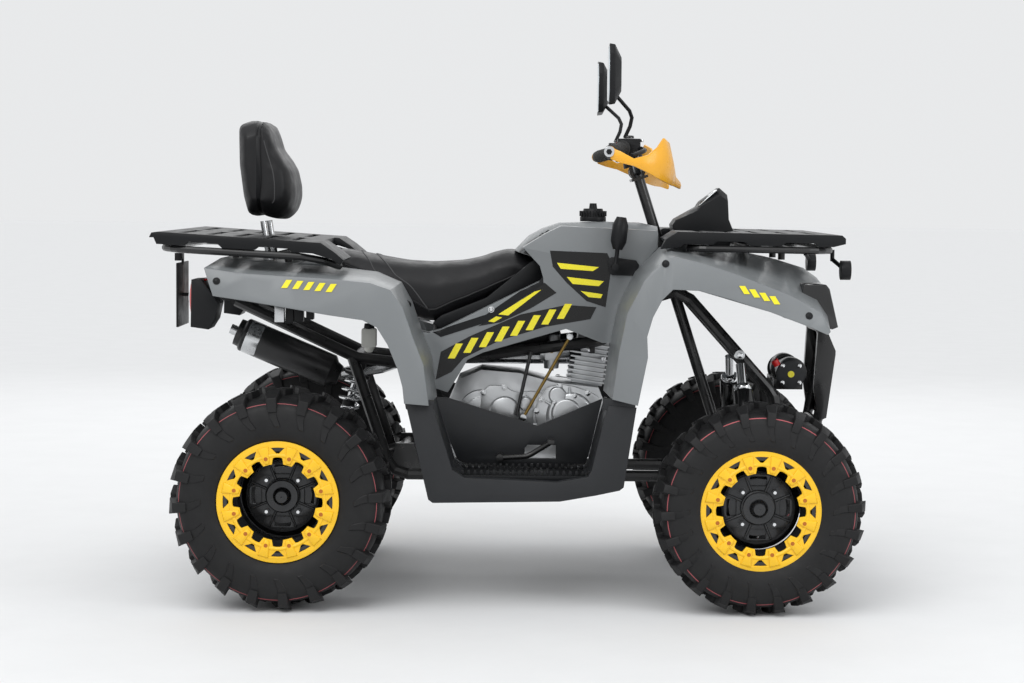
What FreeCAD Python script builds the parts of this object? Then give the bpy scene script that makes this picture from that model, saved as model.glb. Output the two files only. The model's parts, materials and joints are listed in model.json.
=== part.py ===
# Quad bike in millimetres: +X forward, +Y to the rider's left, +Z up, floor at zero
import FreeCAD, Part
import os
from math import cos, hypot, pi, radians, sin, sqrt, tan

os.makedirs("parts", exist_ok=True)

# Driving dimensions
wheelbase = 1165.0
body_height = 940.0
rear_axle_x = -0.4661 * wheelbase
front_axle_x = rear_axle_x + wheelbase
clearance = 0.3
moving_gap = 6.0
running_gap = 0.05
overrun = 40.0

# Wheels
rear_tyre_radius = 269.0
rear_tyre_width = 254.0
rear_track = 780.0
rear_lugs = 16
front_tyre_radius = 257.0
front_tyre_width = 178.0
front_track = 860.0
front_lugs = 20
lug_height = 13.0
bead_radius = 127.0
rim_flange_radius = 140.0
rim_lip = 9.0
rim_wall = 5.0
barrel_radius = 101.0
ring_radius = 148.0
ring_bore_radius = 92.0
ring_thickness = 6.0
ring_pads = 12
nut_sides = 6
rear_dish_depth = 118.0
front_dish_depth = 64.0
dish_bore_radius = 42.0
dish_thickness = 6.0
hub_radius = 38.0
hub_flange_radius = 70.0
hub_flange_thickness = 8.0
hub_cap_radius = 20.0
hub_cap_length = 34.0
wheel_bolt_circle = 110.0
wheel_bolts = 4
wheel_nut_radius = 11.0
wheel_nut_height = 15.0


# Rear axle
axle_radius = 20.0
brake_disc_radius = 92.0
brake_disc_thickness = 5.0
brake_disc_y = -105.0
sprocket_radius = 105.0
sprocket_thickness = 7.0
sprocket_y = 105.0
sprocket_teeth = 28
sprocket_tooth = 7.0

# Steering
kingpin_inset = 112.0
kingpin_y = front_track / 2 - kingpin_inset
kingpin_length = 120.0
stub_radius = 17.0
tie_rod_radius = 7.0
tie_rod_height = 238.0
ball_radius = 13.0
steering_tilt = 18.0
steering_shaft_radius = 14.0
steering_head_z = 1.122 * body_height
steering_foot_x = 0.5107 * wheelbase
steering_foot_z = 1.0923 * rear_tyre_radius
bar_radius = 11.0
bar_half_width = 392.0
grip_radius = 16.0
grip_length = 125.0
grip_overhang = 2.4
grip_collar_length = 6.0

# Frame
frame_tube_radius = 15.0
rack_tube_radius = 9.0
tube_sides = 10
guard_tube_radius = 13.0
hoop_foot_depth = 1.5

# Body
panel_thickness = 4.0
full_turn = 360.0
seat_half_width = 150.0


def at(x, y, z):
    return FreeCAD.Vector(x, y, z)


def side(shares):
    """Side-view points from shares of the wheelbase and the body height."""
    return [(x * wheelbase, z * body_height) for x, z in shares]


def ring_of(points):
    return Part.makePolygon(points + points[:1])


def slab(outline, low, high):
    """Side-view outline carried across from y = low to y = high."""
    wire = ring_of([at(x, low, z) for x, z in outline])
    return Part.Face(wire).extrude(at(0, high - low, 0))


def block(x_low, x_high, y_low, y_high, z_low, z_high):
    corner = at(x_low, y_low, z_low)
    return Part.makeBox(x_high - x_low, y_high - y_low, z_high - z_low, corner)


def rod(start, end, radius):
    return Part.makeCylinder(radius, (end - start).Length, start, end - start)


def loft(rings):
    """Ruled skin through closed rings, capped at both ends."""
    body = Part.makeLoft(rings, True, True)
    if body.Volume < 0:
        body.reverse()
    return body


def eased(points, bend):
    """Path with each corner replaced by the ends and the middle of its tangent arc."""
    path = [points[0]]
    for before, corner, after in zip(points, points[1:], points[2:]):
        back = (before - corner).normalize()
        ahead = (after - corner).normalize()
        half = back.getAngle(ahead) / 2
        reach = min(bend / tan(half), 0.45 * (before - corner).Length, 0.45 * (after - corner).Length)
        inward = (back + ahead).normalize()
        radius = reach * tan(half)
        centre = corner + inward * hypot(reach, radius)
        path += [corner + back * reach, centre - inward * radius, corner + ahead * reach]
    return path + [points[-1]]


def pipe(points, radius, bend=0.0):
    """Tube along a path, mitred in short steps round each bend."""
    path = eased(points, bend or radius * 3)
    along = (path[1] - path[0]).normalize()
    out = along.cross(at(0, 1, 0) if abs(along.y) < 0.7 else at(1, 0, 0)).normalize()
    wide = along.cross(out)
    spots = []
    for index in range(tube_sides):
        angle = 2 * pi * (index + 0.5) / tube_sides
        spots.append(path[0] + (out * cos(angle) + wide * sin(angle)) * radius)
    rings = [ring_of(spots)]
    for index in range(1, len(path)):
        run = (path[index] - path[index - 1]).normalize()
        onward = (path[index + 1] - path[index]).normalize() if index + 1 < len(path) else run
        normal = (run + onward).normalize()
        spots = [spot + run * ((path[index] - spot).dot(normal) / run.dot(normal)) for spot in spots]
        rings.append(ring_of(spots))
    return loft(rings)


def turned(profile, centre, axis):
    """Closed (radius, along) profile turned about an axis through a centre."""
    along = at(*axis).normalize()
    out = at(0, 0, 1) if abs(along.z) < 0.7 else at(1, 0, 0)
    out = (out - along * out.dot(along)).normalize()
    wire = ring_of([centre + out * r + along * a for r, a in profile])
    return Part.Face(wire).revolve(centre, along, full_turn)


def faceted(profile, centre, hand, sides, phase=0.0):
    """Closed (radius, along) profile carried round the Y axis in flat facets."""
    def spot(index, corner):
        angle = 2 * pi * (index + phase) / sides
        r, a = corner
        return centre + at(r * sin(angle), hand * a, -r * cos(angle))
    faces = []
    for index in range(sides):
        for near, far in zip(profile, profile[1:] + profile[:1]):
            quad = [spot(index, near), spot(index, far), spot(index + 1, far), spot(index + 1, near)]
            faces.append(Part.Face(ring_of(quad)))
    body = Part.Solid(Part.Shell(faces))
    if body.Volume < 0:
        body.reverse()
    return body


def mirrored(shape):
    return shape.mirror(at(0, 0, 0), at(0, 1, 0))


def fused(shapes):
    first = shapes[0]
    return first.multiFuse(shapes[1:]).removeSplitter() if len(shapes) > 1 else first


def cut(shape, tools):
    return shape.cut(tools if isinstance(tools, list) else [tools])


def export(name, *shapes):
    whole = shapes[0] if len(shapes) == 1 else Part.makeCompound(list(shapes))
    whole.exportStep("parts/%s.step" % name)


# Tyre: a round carcass with lugs that wrap both shoulders, the two sides staggered
tyre_skew = 12.0
lug_share = 0.46
lug_sink = 4.0
bulge_share = 0.74
tread_half_share = 0.62
shoulder_drop = 20.0
shoulder_half_share = 0.90
lug_foot_drop = 62.0
ring_inset = 17.0


def flange_plane(width):
    return width / 2 - ring_inset - ring_thickness - clearance


def tyre_carcass(radius, width, sides, centre):
    half = width / 2
    bead = flange_plane(width) - rim_lip - clearance
    crown = radius - lug_height
    seat = (bead_radius + clearance) / cos(pi / sides)
    outer = [
        (seat, bead), (rim_flange_radius + rim_lip, bead), (radius * bulge_share, half),
        (crown - shoulder_drop, half * shoulder_half_share), (crown, half * tread_half_share)]
    profile = outer + [(r, -out) for r, out in reversed(outer)]
    return faceted(profile, centre, 1, sides)


def tyre_lug(radius, width, count, hand):
    """One lug at the top of a wheel about the origin, on the side of sign hand."""
    half = width / 2
    crown = radius - lug_height
    length = 2 * pi * radius / count * lug_share
    reach = length / 2 * cos(radians(tyre_skew)) + half * 0.70 * sin(radians(tyre_skew))
    top = sqrt(radius * radius - reach * reach)
    outline = [
        (crown - lug_sink, half * 0.05), (top, half * 0.05), (top, half * 0.70),
        (radius - shoulder_drop - lug_height / 2, half * 0.985), (radius - lug_foot_drop, half),
        (crown - lug_foot_drop, half * 0.90), (crown - shoulder_drop - lug_sink, half * 0.84),
        (crown - lug_sink, half * 0.56)]
    wire = ring_of([at(-length / 2, hand * out, r) for r, out in outline])
    lug = Part.Face(wire).extrude(at(length, 0, 0))
    lug.rotate(at(0, 0, 0), at(0, 0, 1), -hand * tyre_skew)
    return lug


def tyre(radius, width, count, centre):
    lugs = []
    for hand, stagger in ((1, 0), (-1, 0.5)):
        lug = tyre_lug(radius, width, count, hand)
        for index in range(count):
            turn = 180 + 360 * (index + stagger) / count
            copy = lug.copy()
            copy.rotate(at(0, 0, 0), at(0, 1, 0), turn)
            copy.translate(centre)
            lugs.append(copy)
    return tyre_carcass(radius, width, 2 * count, centre).multiFuse(lugs)


# Rim: deep dish with slots, and the bright ring bolted on its outer lip
slot_count = 4
slot_length = 36.0
slot_width = 13.0
slot_circle_radius = 84.0
rim_sides = 28
ring_sides = 24


def rim(width, dish_depth, centre, hand):
    lip = flange_plane(width)
    dish = lip + ring_thickness - dish_depth
    profile = [
        (rim_flange_radius, lip), (rim_flange_radius, lip - rim_lip), (bead_radius, lip - rim_lip),
        (bead_radius, rim_lip - lip), (rim_flange_radius, rim_lip - lip), (rim_flange_radius, -lip),
        (bead_radius - rim_wall, -lip), (bead_radius - rim_wall, dish - dish_thickness),
        (dish_bore_radius, dish - dish_thickness), (dish_bore_radius, dish), (barrel_radius, dish),
        (barrel_radius, lip)]
    body = faceted(profile, centre, hand, rim_sides)
    tools = []
    for index in range(slot_count):
        slot = Part.makeBox(slot_length, dish_thickness * 3, slot_width,
                            at(-slot_length / 2, hand * dish - dish_thickness * 1.5,
                               slot_circle_radius - slot_width))
        slot.rotate(at(0, 0, 0), at(0, 1, 0), 360 * index / slot_count)
        slot.translate(centre)
        tools.append(slot)
    return cut(body, tools)


pad_notch_share = 0.30
window_share = 0.44
window_low_share = 0.775
window_high_share = 0.895


def wheel_ring(width, centre, hand):
    outer_face = width / 2 - ring_inset
    profile = [(ring_radius, outer_face), (ring_radius, outer_face - ring_thickness),
               (ring_bore_radius, outer_face - ring_thickness), (ring_bore_radius, outer_face)]
    body = faceted(profile, centre, hand, ring_sides)
    pitch = 2 * pi / ring_pads
    tools = []
    for index in range(ring_pads):
        middle = pitch * index

        def spot(radius, turn):
            return centre + at(radius * cos(middle + turn), -overrun * 4, radius * sin(middle + turn))
        notch = [spot(ring_bore_radius * 0.9, -pitch * pad_notch_share), spot(ring_bore_radius * 0.9,
                pitch * pad_notch_share),
                 spot(ring_radius * 0.71, pitch * 0.12), spot(ring_radius * 0.71, -pitch * 0.12)]
        window = [spot(ring_radius * window_low_share, 0.5 * pitch), spot(ring_radius * window_high_share,
                pitch * 0.5 - pitch * window_share / 2),
                  spot(ring_radius * window_high_share, pitch * 0.5 + pitch * window_share / 2)]
        for outline in (notch, window):
            tools.append(Part.Face(ring_of(outline)).extrude(at(0, overrun * 8, 0)))
    return cut(body, tools)


def wheel_nuts(centre, front):
    """Hexagon nuts on the dish, left side."""
    pieces = []
    for index in range(wheel_bolts):
        angle = 2 * pi * index / wheel_bolts + pi / 4
        spot = centre + at(cos(angle), 0, sin(angle)) * (wheel_bolt_circle / 2)
        corners = []
        for turn in range(nut_sides):
            out = at(cos(2 * pi * turn / nut_sides), 0, sin(2 * pi * turn / nut_sides)) * wheel_nut_radius
            corners.append(spot + out + at(0, front, 0))
        pieces.append(Part.Face(ring_of(corners)).extrude(at(0, wheel_nut_height, 0)))
    return pieces


def dish_plane(width, dish_depth):
    return flange_plane(width) + ring_thickness - dish_depth


front_centre = at(front_axle_x, front_track / 2, front_tyre_radius)
rear_centre = at(rear_axle_x, rear_track / 2, rear_tyre_radius)
front_dish = dish_plane(front_tyre_width, front_dish_depth)
rear_dish = dish_plane(rear_tyre_width, rear_dish_depth)


def hub_nose(dish):
    """Profile of the hub nose and its domed cap, outward from the flange."""
    face = dish - dish_thickness - clearance
    nose = dish + hub_cap_length / 2
    tip = dish + hub_cap_length
    return [(hub_flange_radius, face - hub_flange_thickness), (hub_flange_radius, face),
            (hub_radius, face),
            (hub_radius, nose), (hub_cap_radius, nose), (hub_cap_radius * 0.7, tip)]


# Rear axle: one live axle with both hubs, the brake disc and the sprocket
def toothed_disc(centre_y, radius, thickness, teeth, tooth):
    points = []
    for index in range(teeth):
        for share, reach in ((0.0, radius - tooth), (0.28, radius - tooth), (0.42, radius),
                             (0.86, radius)):
            angle = 2 * pi * (index + share) / teeth
            points.append(at(rear_axle_x + reach * cos(angle), centre_y - thickness / 2,
                             rear_tyre_radius + reach * sin(angle)))
    return Part.Face(ring_of(points)).extrude(at(0, thickness, 0))


def rear_axle():
    face = rear_dish - dish_thickness - clearance
    inner = face - hub_flange_thickness
    half = rear_track / 2
    nose = hub_nose(rear_dish)
    centre = at(rear_axle_x, 0, rear_tyre_radius)
    outline = [(0, 0), (axle_radius, 0), (axle_radius, half + inner)] + [(r, half + a) for r, a in nose]
    outline += [(0, outline[-1][1])]
    left = turned(outline, centre, (0, 1, 0))
    disc = turned([(axle_radius - clearance, brake_disc_y), (brake_disc_radius, brake_disc_y),
                   (brake_disc_radius, brake_disc_y + brake_disc_thickness),
                   (axle_radius - clearance, brake_disc_y + brake_disc_thickness)], centre, (0, 1, 0))
    sprocket = toothed_disc(sprocket_y, sprocket_radius, sprocket_thickness, sprocket_teeth,
                            sprocket_tooth)
    return fused([left, mirrored(left), disc, sprocket])


# Front hub: turns on the stub of the knuckle
front_hub_barrel = 34.0
front_hub_length = 52.0
front_disc_radius = 78.0
front_disc_thickness = 4.0


def front_hub():
    face = front_dish - dish_thickness - clearance
    inner = face - hub_flange_thickness
    end = inner - front_hub_length
    disc = end + 4 * front_disc_thickness
    bore = stub_radius + running_gap
    depth = front_dish
    outline = [(bore, depth), (bore, end), (front_hub_barrel, end), (front_hub_barrel, disc),
               (front_disc_radius, disc), (front_disc_radius, disc + front_disc_thickness),
               (front_hub_barrel, disc + front_disc_thickness), (front_hub_barrel, inner)]
    outline += hub_nose(front_dish)
    outline += [(0, outline[-1][1]), (0, depth)]
    return turned(outline, front_centre, (0, 1, 0))


def export_wheels():
    front_tyre = tyre(front_tyre_radius, front_tyre_width, front_lugs, front_centre)
    rear_tyre = tyre(rear_tyre_radius, rear_tyre_width, rear_lugs, rear_centre)
    front_rim = fused([rim(front_tyre_width, front_dish_depth, front_centre, 1)]
                      + wheel_nuts(front_centre, front_dish))
    rear_rim = fused([rim(rear_tyre_width, rear_dish_depth, rear_centre, 1)] + wheel_nuts(rear_centre,
            rear_dish))
    front_ring = wheel_ring(front_tyre_width, front_centre, 1)
    rear_ring = wheel_ring(rear_tyre_width, rear_centre, 1)
    hub = front_hub()
    for name, shape in (("front_tyre", front_tyre), ("front_rim", front_rim), ("front_ring", front_ring),
                        ("front_hub", hub)):
        export(name + "_left", shape)
        export(name + "_right", mirrored(shape))
    for name, shape in (("rear_tyres", rear_tyre), ("rear_rims", rear_rim), ("rear_rings", rear_ring)):
        export(name, shape, mirrored(shape))
    export("rear_axle", rear_axle())


# Steering: a leaning shaft with a pitman plate below, knuckles on kingpins, and tie rods
pitman_reach = 70.0
pitman_half_width = 30.0
pitman_thickness = 8.0
pitman_edge = 3.6
pitman_pin_radius = 5.0
pitman_pin_length = 30.0
rod_eye_radius = 17.0
rod_eye_bore = 11.5
rod_eye_height = 12.0
knuckle_reach = 86.0
knuckle_ball_inset = 14.0
upright_radius = 19.0
stub_length = 70.0

steering_up = at(-sin(radians(steering_tilt)), 0, cos(radians(steering_tilt)))
steering_side = at(0, 1, 0)
steering_ahead = at(cos(radians(steering_tilt)), 0, sin(radians(steering_tilt)))
steering_foot = at(steering_foot_x, 0, steering_foot_z)
steering_head = steering_foot + steering_up * ((steering_head_z - steering_foot_z) / steering_up.z)
kingpin_top = at(front_axle_x, kingpin_y, front_tyre_radius + kingpin_length / 2)
kingpin_foot = at(front_axle_x, kingpin_y, front_tyre_radius - kingpin_length / 2)
rod_ball = at(front_axle_x - knuckle_reach, kingpin_y - knuckle_ball_inset, tie_rod_height)


def steering_column():
    """Shaft from the bar clamp down to the pitman plate."""
    shaft = rod(steering_foot, steering_head, steering_shaft_radius)
    corners = [steering_foot + steering_ahead * a + steering_side * b for a, b in (
        (1.3 * steering_shaft_radius, 1.3 * steering_shaft_radius), (-pitman_reach - pitman_edge,
                1.3 * pitman_half_width),
        (-pitman_reach - pitman_edge, -1.3 * pitman_half_width), (1.3 * steering_shaft_radius,
                -1.3 * steering_shaft_radius))]
    plate = Part.Face(ring_of(corners)).extrude(steering_up * pitman_thickness)
    pins = []
    for hand in (1, -1):
        aside = steering_side * (hand * pitman_half_width)
        top = steering_foot - steering_ahead * pitman_reach + aside + steering_up * (pitman_thickness / 2)
        pins.append(rod(top, top - steering_up * pitman_pin_length, pitman_pin_radius))
    return fused([shaft, plate] + pins)


def knuckle():
    """Upright with the stub axle, and the arm that the tie rod pulls, left side."""
    upright = rod(kingpin_foot, kingpin_top, upright_radius)
    root = at(front_axle_x, kingpin_y, front_tyre_radius)
    stub_tip = at(front_axle_x, front_track / 2 + front_dish - clearance, front_tyre_radius)
    stub = rod(root, stub_tip, stub_radius)
    collar = rod(root, at(front_axle_x, kingpin_y + stub_length * 0.6, front_tyre_radius),
                 stub_radius * 1.5)
    elbow = at(front_axle_x, kingpin_y, tie_rod_height)
    arm = rod(elbow, rod_ball, ball_radius * 0.6)
    ball = rod(rod_ball - at(0, 0, ball_radius), rod_ball + at(0, 0, ball_radius), ball_radius)
    bores = [rod(end, end + at(0, 0, hand * 1.1 * ball_stud_length), ball_stud_radius + running_gap)
             for end, hand in ((kingpin_foot, 1), (kingpin_top, -1))]
    return cut(fused([upright, stub, collar, arm, ball]), bores)


def pitman_pin_foot(hand):
    reach = steering_foot - steering_ahead * pitman_reach + steering_side * (hand * pitman_half_width)
    return reach - steering_up * (pitman_pin_length * 0.6)


def tie_rod():
    """Rod from the knuckle's ball to an eye round the pitman pin, left side."""
    eye = pitman_pin_foot(1)
    along = (eye - rod_ball).normalize()
    neck_start = rod_ball + along * (ball_radius + clearance * 2)
    cup_start = rod_ball + along * (ball_radius * 1.4)
    neck = rod(neck_start, cup_start, ball_radius * 0.4)
    bar = rod(cup_start, eye - along * (rod_eye_radius * 0.8), tie_rod_radius)
    cup = rod(cup_start, cup_start + along * (ball_radius * 1.5), ball_radius * 0.9)
    outer = rod(eye - steering_up * (rod_eye_height / 2), eye + steering_up * (rod_eye_height / 2),
                rod_eye_radius)
    hole = rod(eye - steering_up * rod_eye_height, eye + steering_up * rod_eye_height, rod_eye_bore)
    return cut(fused([bar, neck, cup, outer]), hole)


# Handlebar: a wide bent bar with a cross brace, held in a clamp on the shaft
bar_rise = 62.0
bar_sweep = 86.0
bar_clamp_half = 52.0
bar_bend_y = 165.0
brace_radius = 6.0
clamp_height = 44.0
bar_clamp_reach = 6.6


def bar_points():
    """Left half of the bar, clamp to grip end."""
    centre = steering_head + steering_up * (clamp_height / 2)
    return [centre, centre + steering_side * bar_clamp_half,
            centre + at(-bar_sweep * 0.25, bar_bend_y, bar_rise),
            centre + at(-bar_sweep, bar_half_width, bar_rise * 0.72)]


def handlebar():
    half = bar_points()
    other = [at(p.x, -p.y, p.z) for p in half]
    bar = pipe(list(reversed(other[1:])) + half[1:], bar_radius, bar_clamp_half)
    clamp_centre = half[0]
    clamp = []
    for hand in (1, -1):
        spot = clamp_centre + steering_side * (hand * bar_clamp_half * 0.5)
        clamp.append(rod(spot - steering_side * bar_clamp_reach, spot + steering_side * bar_clamp_reach,
                         bar_radius * 1.9))
        clamp.append(rod(spot - steering_up * (clamp_height / 2), spot, bar_radius * 1.2))
    plate = [clamp_centre - steering_up * (clamp_height / 2 - clearance)
             + steering_ahead * (a * bar_radius * 2) + steering_side * (b * bar_clamp_half)
             for a, b in ((1, 1), (-1, 1), (-1, -1), (1, -1))]
    foot = Part.Face(ring_of(plate)).extrude(steering_up * (bar_radius * 0.6))
    mid = half[1] * 0.35 + half[2] * 0.65
    lift = steering_up * bar_radius
    dip = 0.55
    brace = pipe([at(mid.x, -mid.y, mid.z), at(mid.x, -mid.y * dip, mid.z) + lift,
                  at(mid.x, mid.y * dip, mid.z) + lift, mid], brace_radius, 3 * brace_radius)
    return fused([bar, brace, foot] + clamp)


def grip_line():
    """Start and end of the left grip on the bar, with the way along it."""
    half = bar_points()
    along = (half[3] - half[2]).normalize()
    return half[3], along


control_width = 46.0
control_height = 42.0
control_depth = 56.0
control_gap = 10.0
lever_length = 150.0
lever_reach = 52.0
lever_radius = 6.0


def sleeve(start, along, length, outer, inner):
    body = rod(start, start + along * length, outer)
    return cut(body, rod(start - along * length, start + along * (2 * length), inner))


def hand_controls():
    """Grips, switch and brake housings, and levers, one closed group a side."""
    end, along = grip_line()
    hole = bar_radius + clearance
    grip = fused([sleeve(end - along * grip_length, along, grip_length + grip_overhang, grip_radius,
                         hole),
                  sleeve(end - along * grip_length, along, grip_collar_length, grip_radius * 1.3, hole)])
    start = end - along * (grip_length + control_width + control_gap)
    centre = start + along * (control_width / 2)
    corner = at(centre.x - control_depth * 0.35, centre.y - control_width / 2,
                centre.z - control_height * 0.45)
    housing = Part.makeBox(control_depth, control_width, control_height, corner)
    pivot = at(centre.x + control_depth * 0.55, centre.y + control_width * 0.2, centre.z)
    tip = end + at(lever_reach, -grip_length * 0.15, -lever_reach * 0.2)
    lever = pipe([pivot, at(pivot.x + lever_reach * 0.35, pivot.y + lever_length * 0.3,
                            pivot.z - lever_radius), tip], lever_radius, lever_length * 0.3)
    body = fused([cut(housing, rod(start - along * control_width, end, hole)), lever])
    return grip, body


guard_thickness = 5.0


guard_bulge = 12.0
guard_plug_start = 2.7
mirror_height = 150.0
mirror_width = 118.0
mirror_depth = 30.0
mirror_stem_radius = 5.0
mirror_rise = 152.0
mirror_y = 330.0


def mirror(centre, root):
    """Shell with a tilted back, on a bent stem, left side."""
    rings = []
    for back, scale in ((0.0, 1.0), (0.45, 0.97), (1.0, 0.55)):
        points = []
        for across, up in ((-0.5, -0.22), (-0.40, -0.46), (0.36, -0.5), (0.5, -0.30), (0.46, 0.34),
                           (0.28, 0.5), (-0.30, 0.46), (-0.5, 0.26)):
            points.append(centre + at(back * mirror_depth, across * mirror_width * scale,
                                      up * mirror_height * scale))
        rings.append(ring_of(points))
    shell = loft(rings)
    hook = centre + at(mirror_depth * 0.5, -mirror_width * 0.1, -mirror_height * 0.3)
    stem = pipe([root, root + at(mirror_depth * 0.8, 0, mirror_rise * 0.35), hook], mirror_stem_radius,
                mirror_rise * 0.3)
    return fused([shell, stem])


def export_steering():
    export("steering_column", steering_column())
    export("handlebar", handlebar())
    for name, shape in (("knuckle", knuckle()), ("tie_rod", tie_rod())):
        export(name + "_left", shape)
        export(name + "_right", mirrored(shape))
    grip, body = hand_controls()
    export("grips", grip, mirrored(grip))
    export("hand_controls", body, mirrored(body))
    guard = hand_guard()
    export("hand_guards", guard, mirrored(guard))
    end, along = grip_line()
    root = end - along * (grip_length + control_width / 2) + at(0, 0,
            control_height * 0.55 + mirror_stem_radius * 0.5)
    glass = mirror(at(root.x - mirror_depth * 1.5, mirror_y, root.z + mirror_rise), root)
    export("mirrors", glass, mirrored(glass))


# Frame: two side loops of round tube with cross tubes, bushes for the steering and a hitch plate
half_width = 500.0
frame_bend = 60.0
upper_foot_share = [(0.6009, 0.2, 0.8922)]
upper_loop_shares = [
    (0.6009, 0.2, 0.5319), (0.3777, 0.2, 0.8404), (0.2146, 0.236, 0.6809),
    (-0.206, 0.236, 0.6117), (-0.327, 0.236, 0.6277), (-0.594, 0.236, 0.7819)]
lower_loop_shares = [
    (0.6009, 0.2, 0.8922), (0.5339, 0.2, 0.8922), (0.4807, 0.208, 1.1524),
    (0.3691, 0.236, 1.0781), (-0.2489, 0.236, 1.0781)]
lower_loop_top_share = [(-0.3365, 0.236, 0.6298)]
middle_loop_shares = [(0.6009, 0.2, 1.4015), (0.4678, 0.2, 1.4015), (0.4034, 0.222, 1.0929)]
cross_shares = [(0.6009, 0.2, 0.5319), (-0.327, 0.236, 0.6277), (-0.594, 0.236, 0.7819)]
low_cross_share = [(0.2146, 0.236, 1.0781)]
bush_length = 46.0
bush_wall = 9.0
pivot_x = -0.2189 * wheelbase
pivot_z = 1.2639 * rear_tyre_radius
pivot_pin_radius = 12.0
pivot_plate_thickness = 8.0
hitch_bore_radius = 9.5
hitch_plate_thickness = 10.0
hitch_plate_width = 70.0
hitch_plate_length = 62.0


def places(shares):
    """Points in space from shares of the wheelbase, the half width and the body height."""
    return [at(x * wheelbase, y * half_width, z * body_height) for x, y, z in shares]


def low_places(shares):
    """Points low in the chassis, their heights shares of the rear tyre's radius."""
    return [at(x * wheelbase, y * half_width, z * rear_tyre_radius) for x, y, z in shares]


def upper_loop():
    return low_places(upper_foot_share) + places(upper_loop_shares)


def lower_loop():
    return low_places(lower_loop_shares) + places(lower_loop_top_share)


def on_bend(line, corner):
    """Point of a frame tube nearest to a corner of its line."""
    return min(eased(line, frame_bend), key=lambda spot: (spot - corner).Length)


def across(point):
    return at(point.x, -point.y, point.z)


def steering_bush(height, outer):
    """Bearing round the steering shaft, centred at a height."""
    run = (height - steering_head.z) / steering_up.z
    middle = steering_head + steering_up * run
    low = middle - steering_up * (bush_length / 2)
    high = middle + steering_up * (bush_length / 2)
    return middle, rod(low, high, outer)


def shaft_bore(radius):
    return rod(steering_foot - steering_up * overrun, steering_head + steering_up * overrun, radius)


def frame():
    tube = frame_tube_radius
    upper = upper_loop()
    lower = lower_loop()
    middle_loop = low_places(middle_loop_shares)
    pieces = []
    for line in (upper, lower, middle_loop):
        loop = pipe(line, tube, frame_bend)
        pieces += [loop, mirrored(loop)]
    for point in places(cross_shares) + low_places(low_cross_share):
        pieces.append(rod(point, across(point), tube * 0.9))
    bush_radius = steering_shaft_radius + bush_wall
    for height, corner, line in ((upper[2].z, upper[2], upper),
                                 (upper[0].z + 3.5 * bush_length, middle_loop[1], middle_loop)):
        anchor = on_bend(line, corner)
        middle, bush = steering_bush(height, bush_radius)
        pieces.append(bush)
        for end in (anchor, across(anchor)):
            pieces.append(rod(middle, end, tube * 0.7))
    pin_half = lower[4].y
    pieces.append(rod(at(pivot_x, -pin_half, pivot_z), at(pivot_x, pin_half, pivot_z), pivot_pin_radius))
    plate_outline = [(pivot_x - 3 * tube, lower[4].z), (pivot_x + 3 * tube, lower[4].z),
                     (pivot_x + 1.5 * tube, pivot_z + 2 * tube), (pivot_x - 1.5 * tube,
                             pivot_z + 2 * tube)]
    plate = slab(plate_outline, pin_half - pivot_plate_thickness / 2,
                 pin_half + pivot_plate_thickness / 2)
    pieces += [plate, mirrored(plate)]
    tail = upper[-1]
    hitch = block(tail.x - hitch_plate_length, tail.x, -hitch_plate_width / 2, hitch_plate_width / 2,
                  tail.z - hitch_plate_thickness / 2, tail.z + hitch_plate_thickness / 2)
    pieces.append(hitch)
    whole = fused(pieces)
    hole = rod(hitch_centre() - at(0, 0, overrun), hitch_centre() + at(0, 0, overrun), hitch_bore_radius)
    return cut(whole, [shaft_bore(steering_shaft_radius + running_gap), hole])


def hitch_centre():
    tail = upper_loop()[-1]
    return at(tail.x - hitch_plate_length * 0.62, 0, tail.z)


# Rear swing arm and shock absorber with its coil spring
swing_arm_y = 66.0
swing_arm_radius = 17.0
housing_radius = 36.0
housing_half_length = 80.0
shock_rod_radius = 9.0
shock_body_radius = 16.0
spring_radius = 27.0
spring_wire = 7.0
spring_turns = 6
spring_steps = 10
shock_low_share = [(-0.3777, 0, 1.3457)]


def swing_arm():
    axle = at(rear_axle_x, 0, rear_tyre_radius)
    housing = rod(axle - at(0, housing_half_length, 0), axle + at(0, housing_half_length, 0),
                  housing_radius)
    sleeve_half = lower_loop()[4].y - pivot_plate_thickness / 2 - clearance * 2
    pivot = at(pivot_x, 0, pivot_z)
    tube = rod(pivot - at(0, sleeve_half, 0), pivot + at(0, sleeve_half, 0), pivot_pin_radius * 1.8)
    arms = []
    for hand in (1, -1):
        shift = at(0, hand * swing_arm_y, 0)
        arms.append(rod(pivot + shift, axle + shift, swing_arm_radius))
    low = low_places(shock_low_share)[0]
    share = (low.x - pivot.x) / (axle.x - pivot.x)
    bridge = pivot + (axle - pivot) * share
    arms.append(rod(bridge - at(0, swing_arm_y, 0), bridge + at(0, swing_arm_y, 0),
                    swing_arm_radius * 0.8))
    for hand in (1, -1):
        ear = block(bridge.x - shock_body_radius, bridge.x + shock_body_radius, 0, pivot_plate_thickness,
                    bridge.z, low.z + shock_body_radius)
        ear.translate(at(0, hand * shock_body_radius * 1.3 - pivot_plate_thickness / 2, 0))
        arms.append(ear)
    whole = fused([housing, tube] + arms)
    return cut(whole, [rod(axle - at(0, rear_track, 0), axle + at(0, rear_track, 0),
                           axle_radius + running_gap),
                       rod(pivot - at(0, rear_track, 0), pivot + at(0, rear_track, 0),
                           pivot_pin_radius + clearance)])


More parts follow.
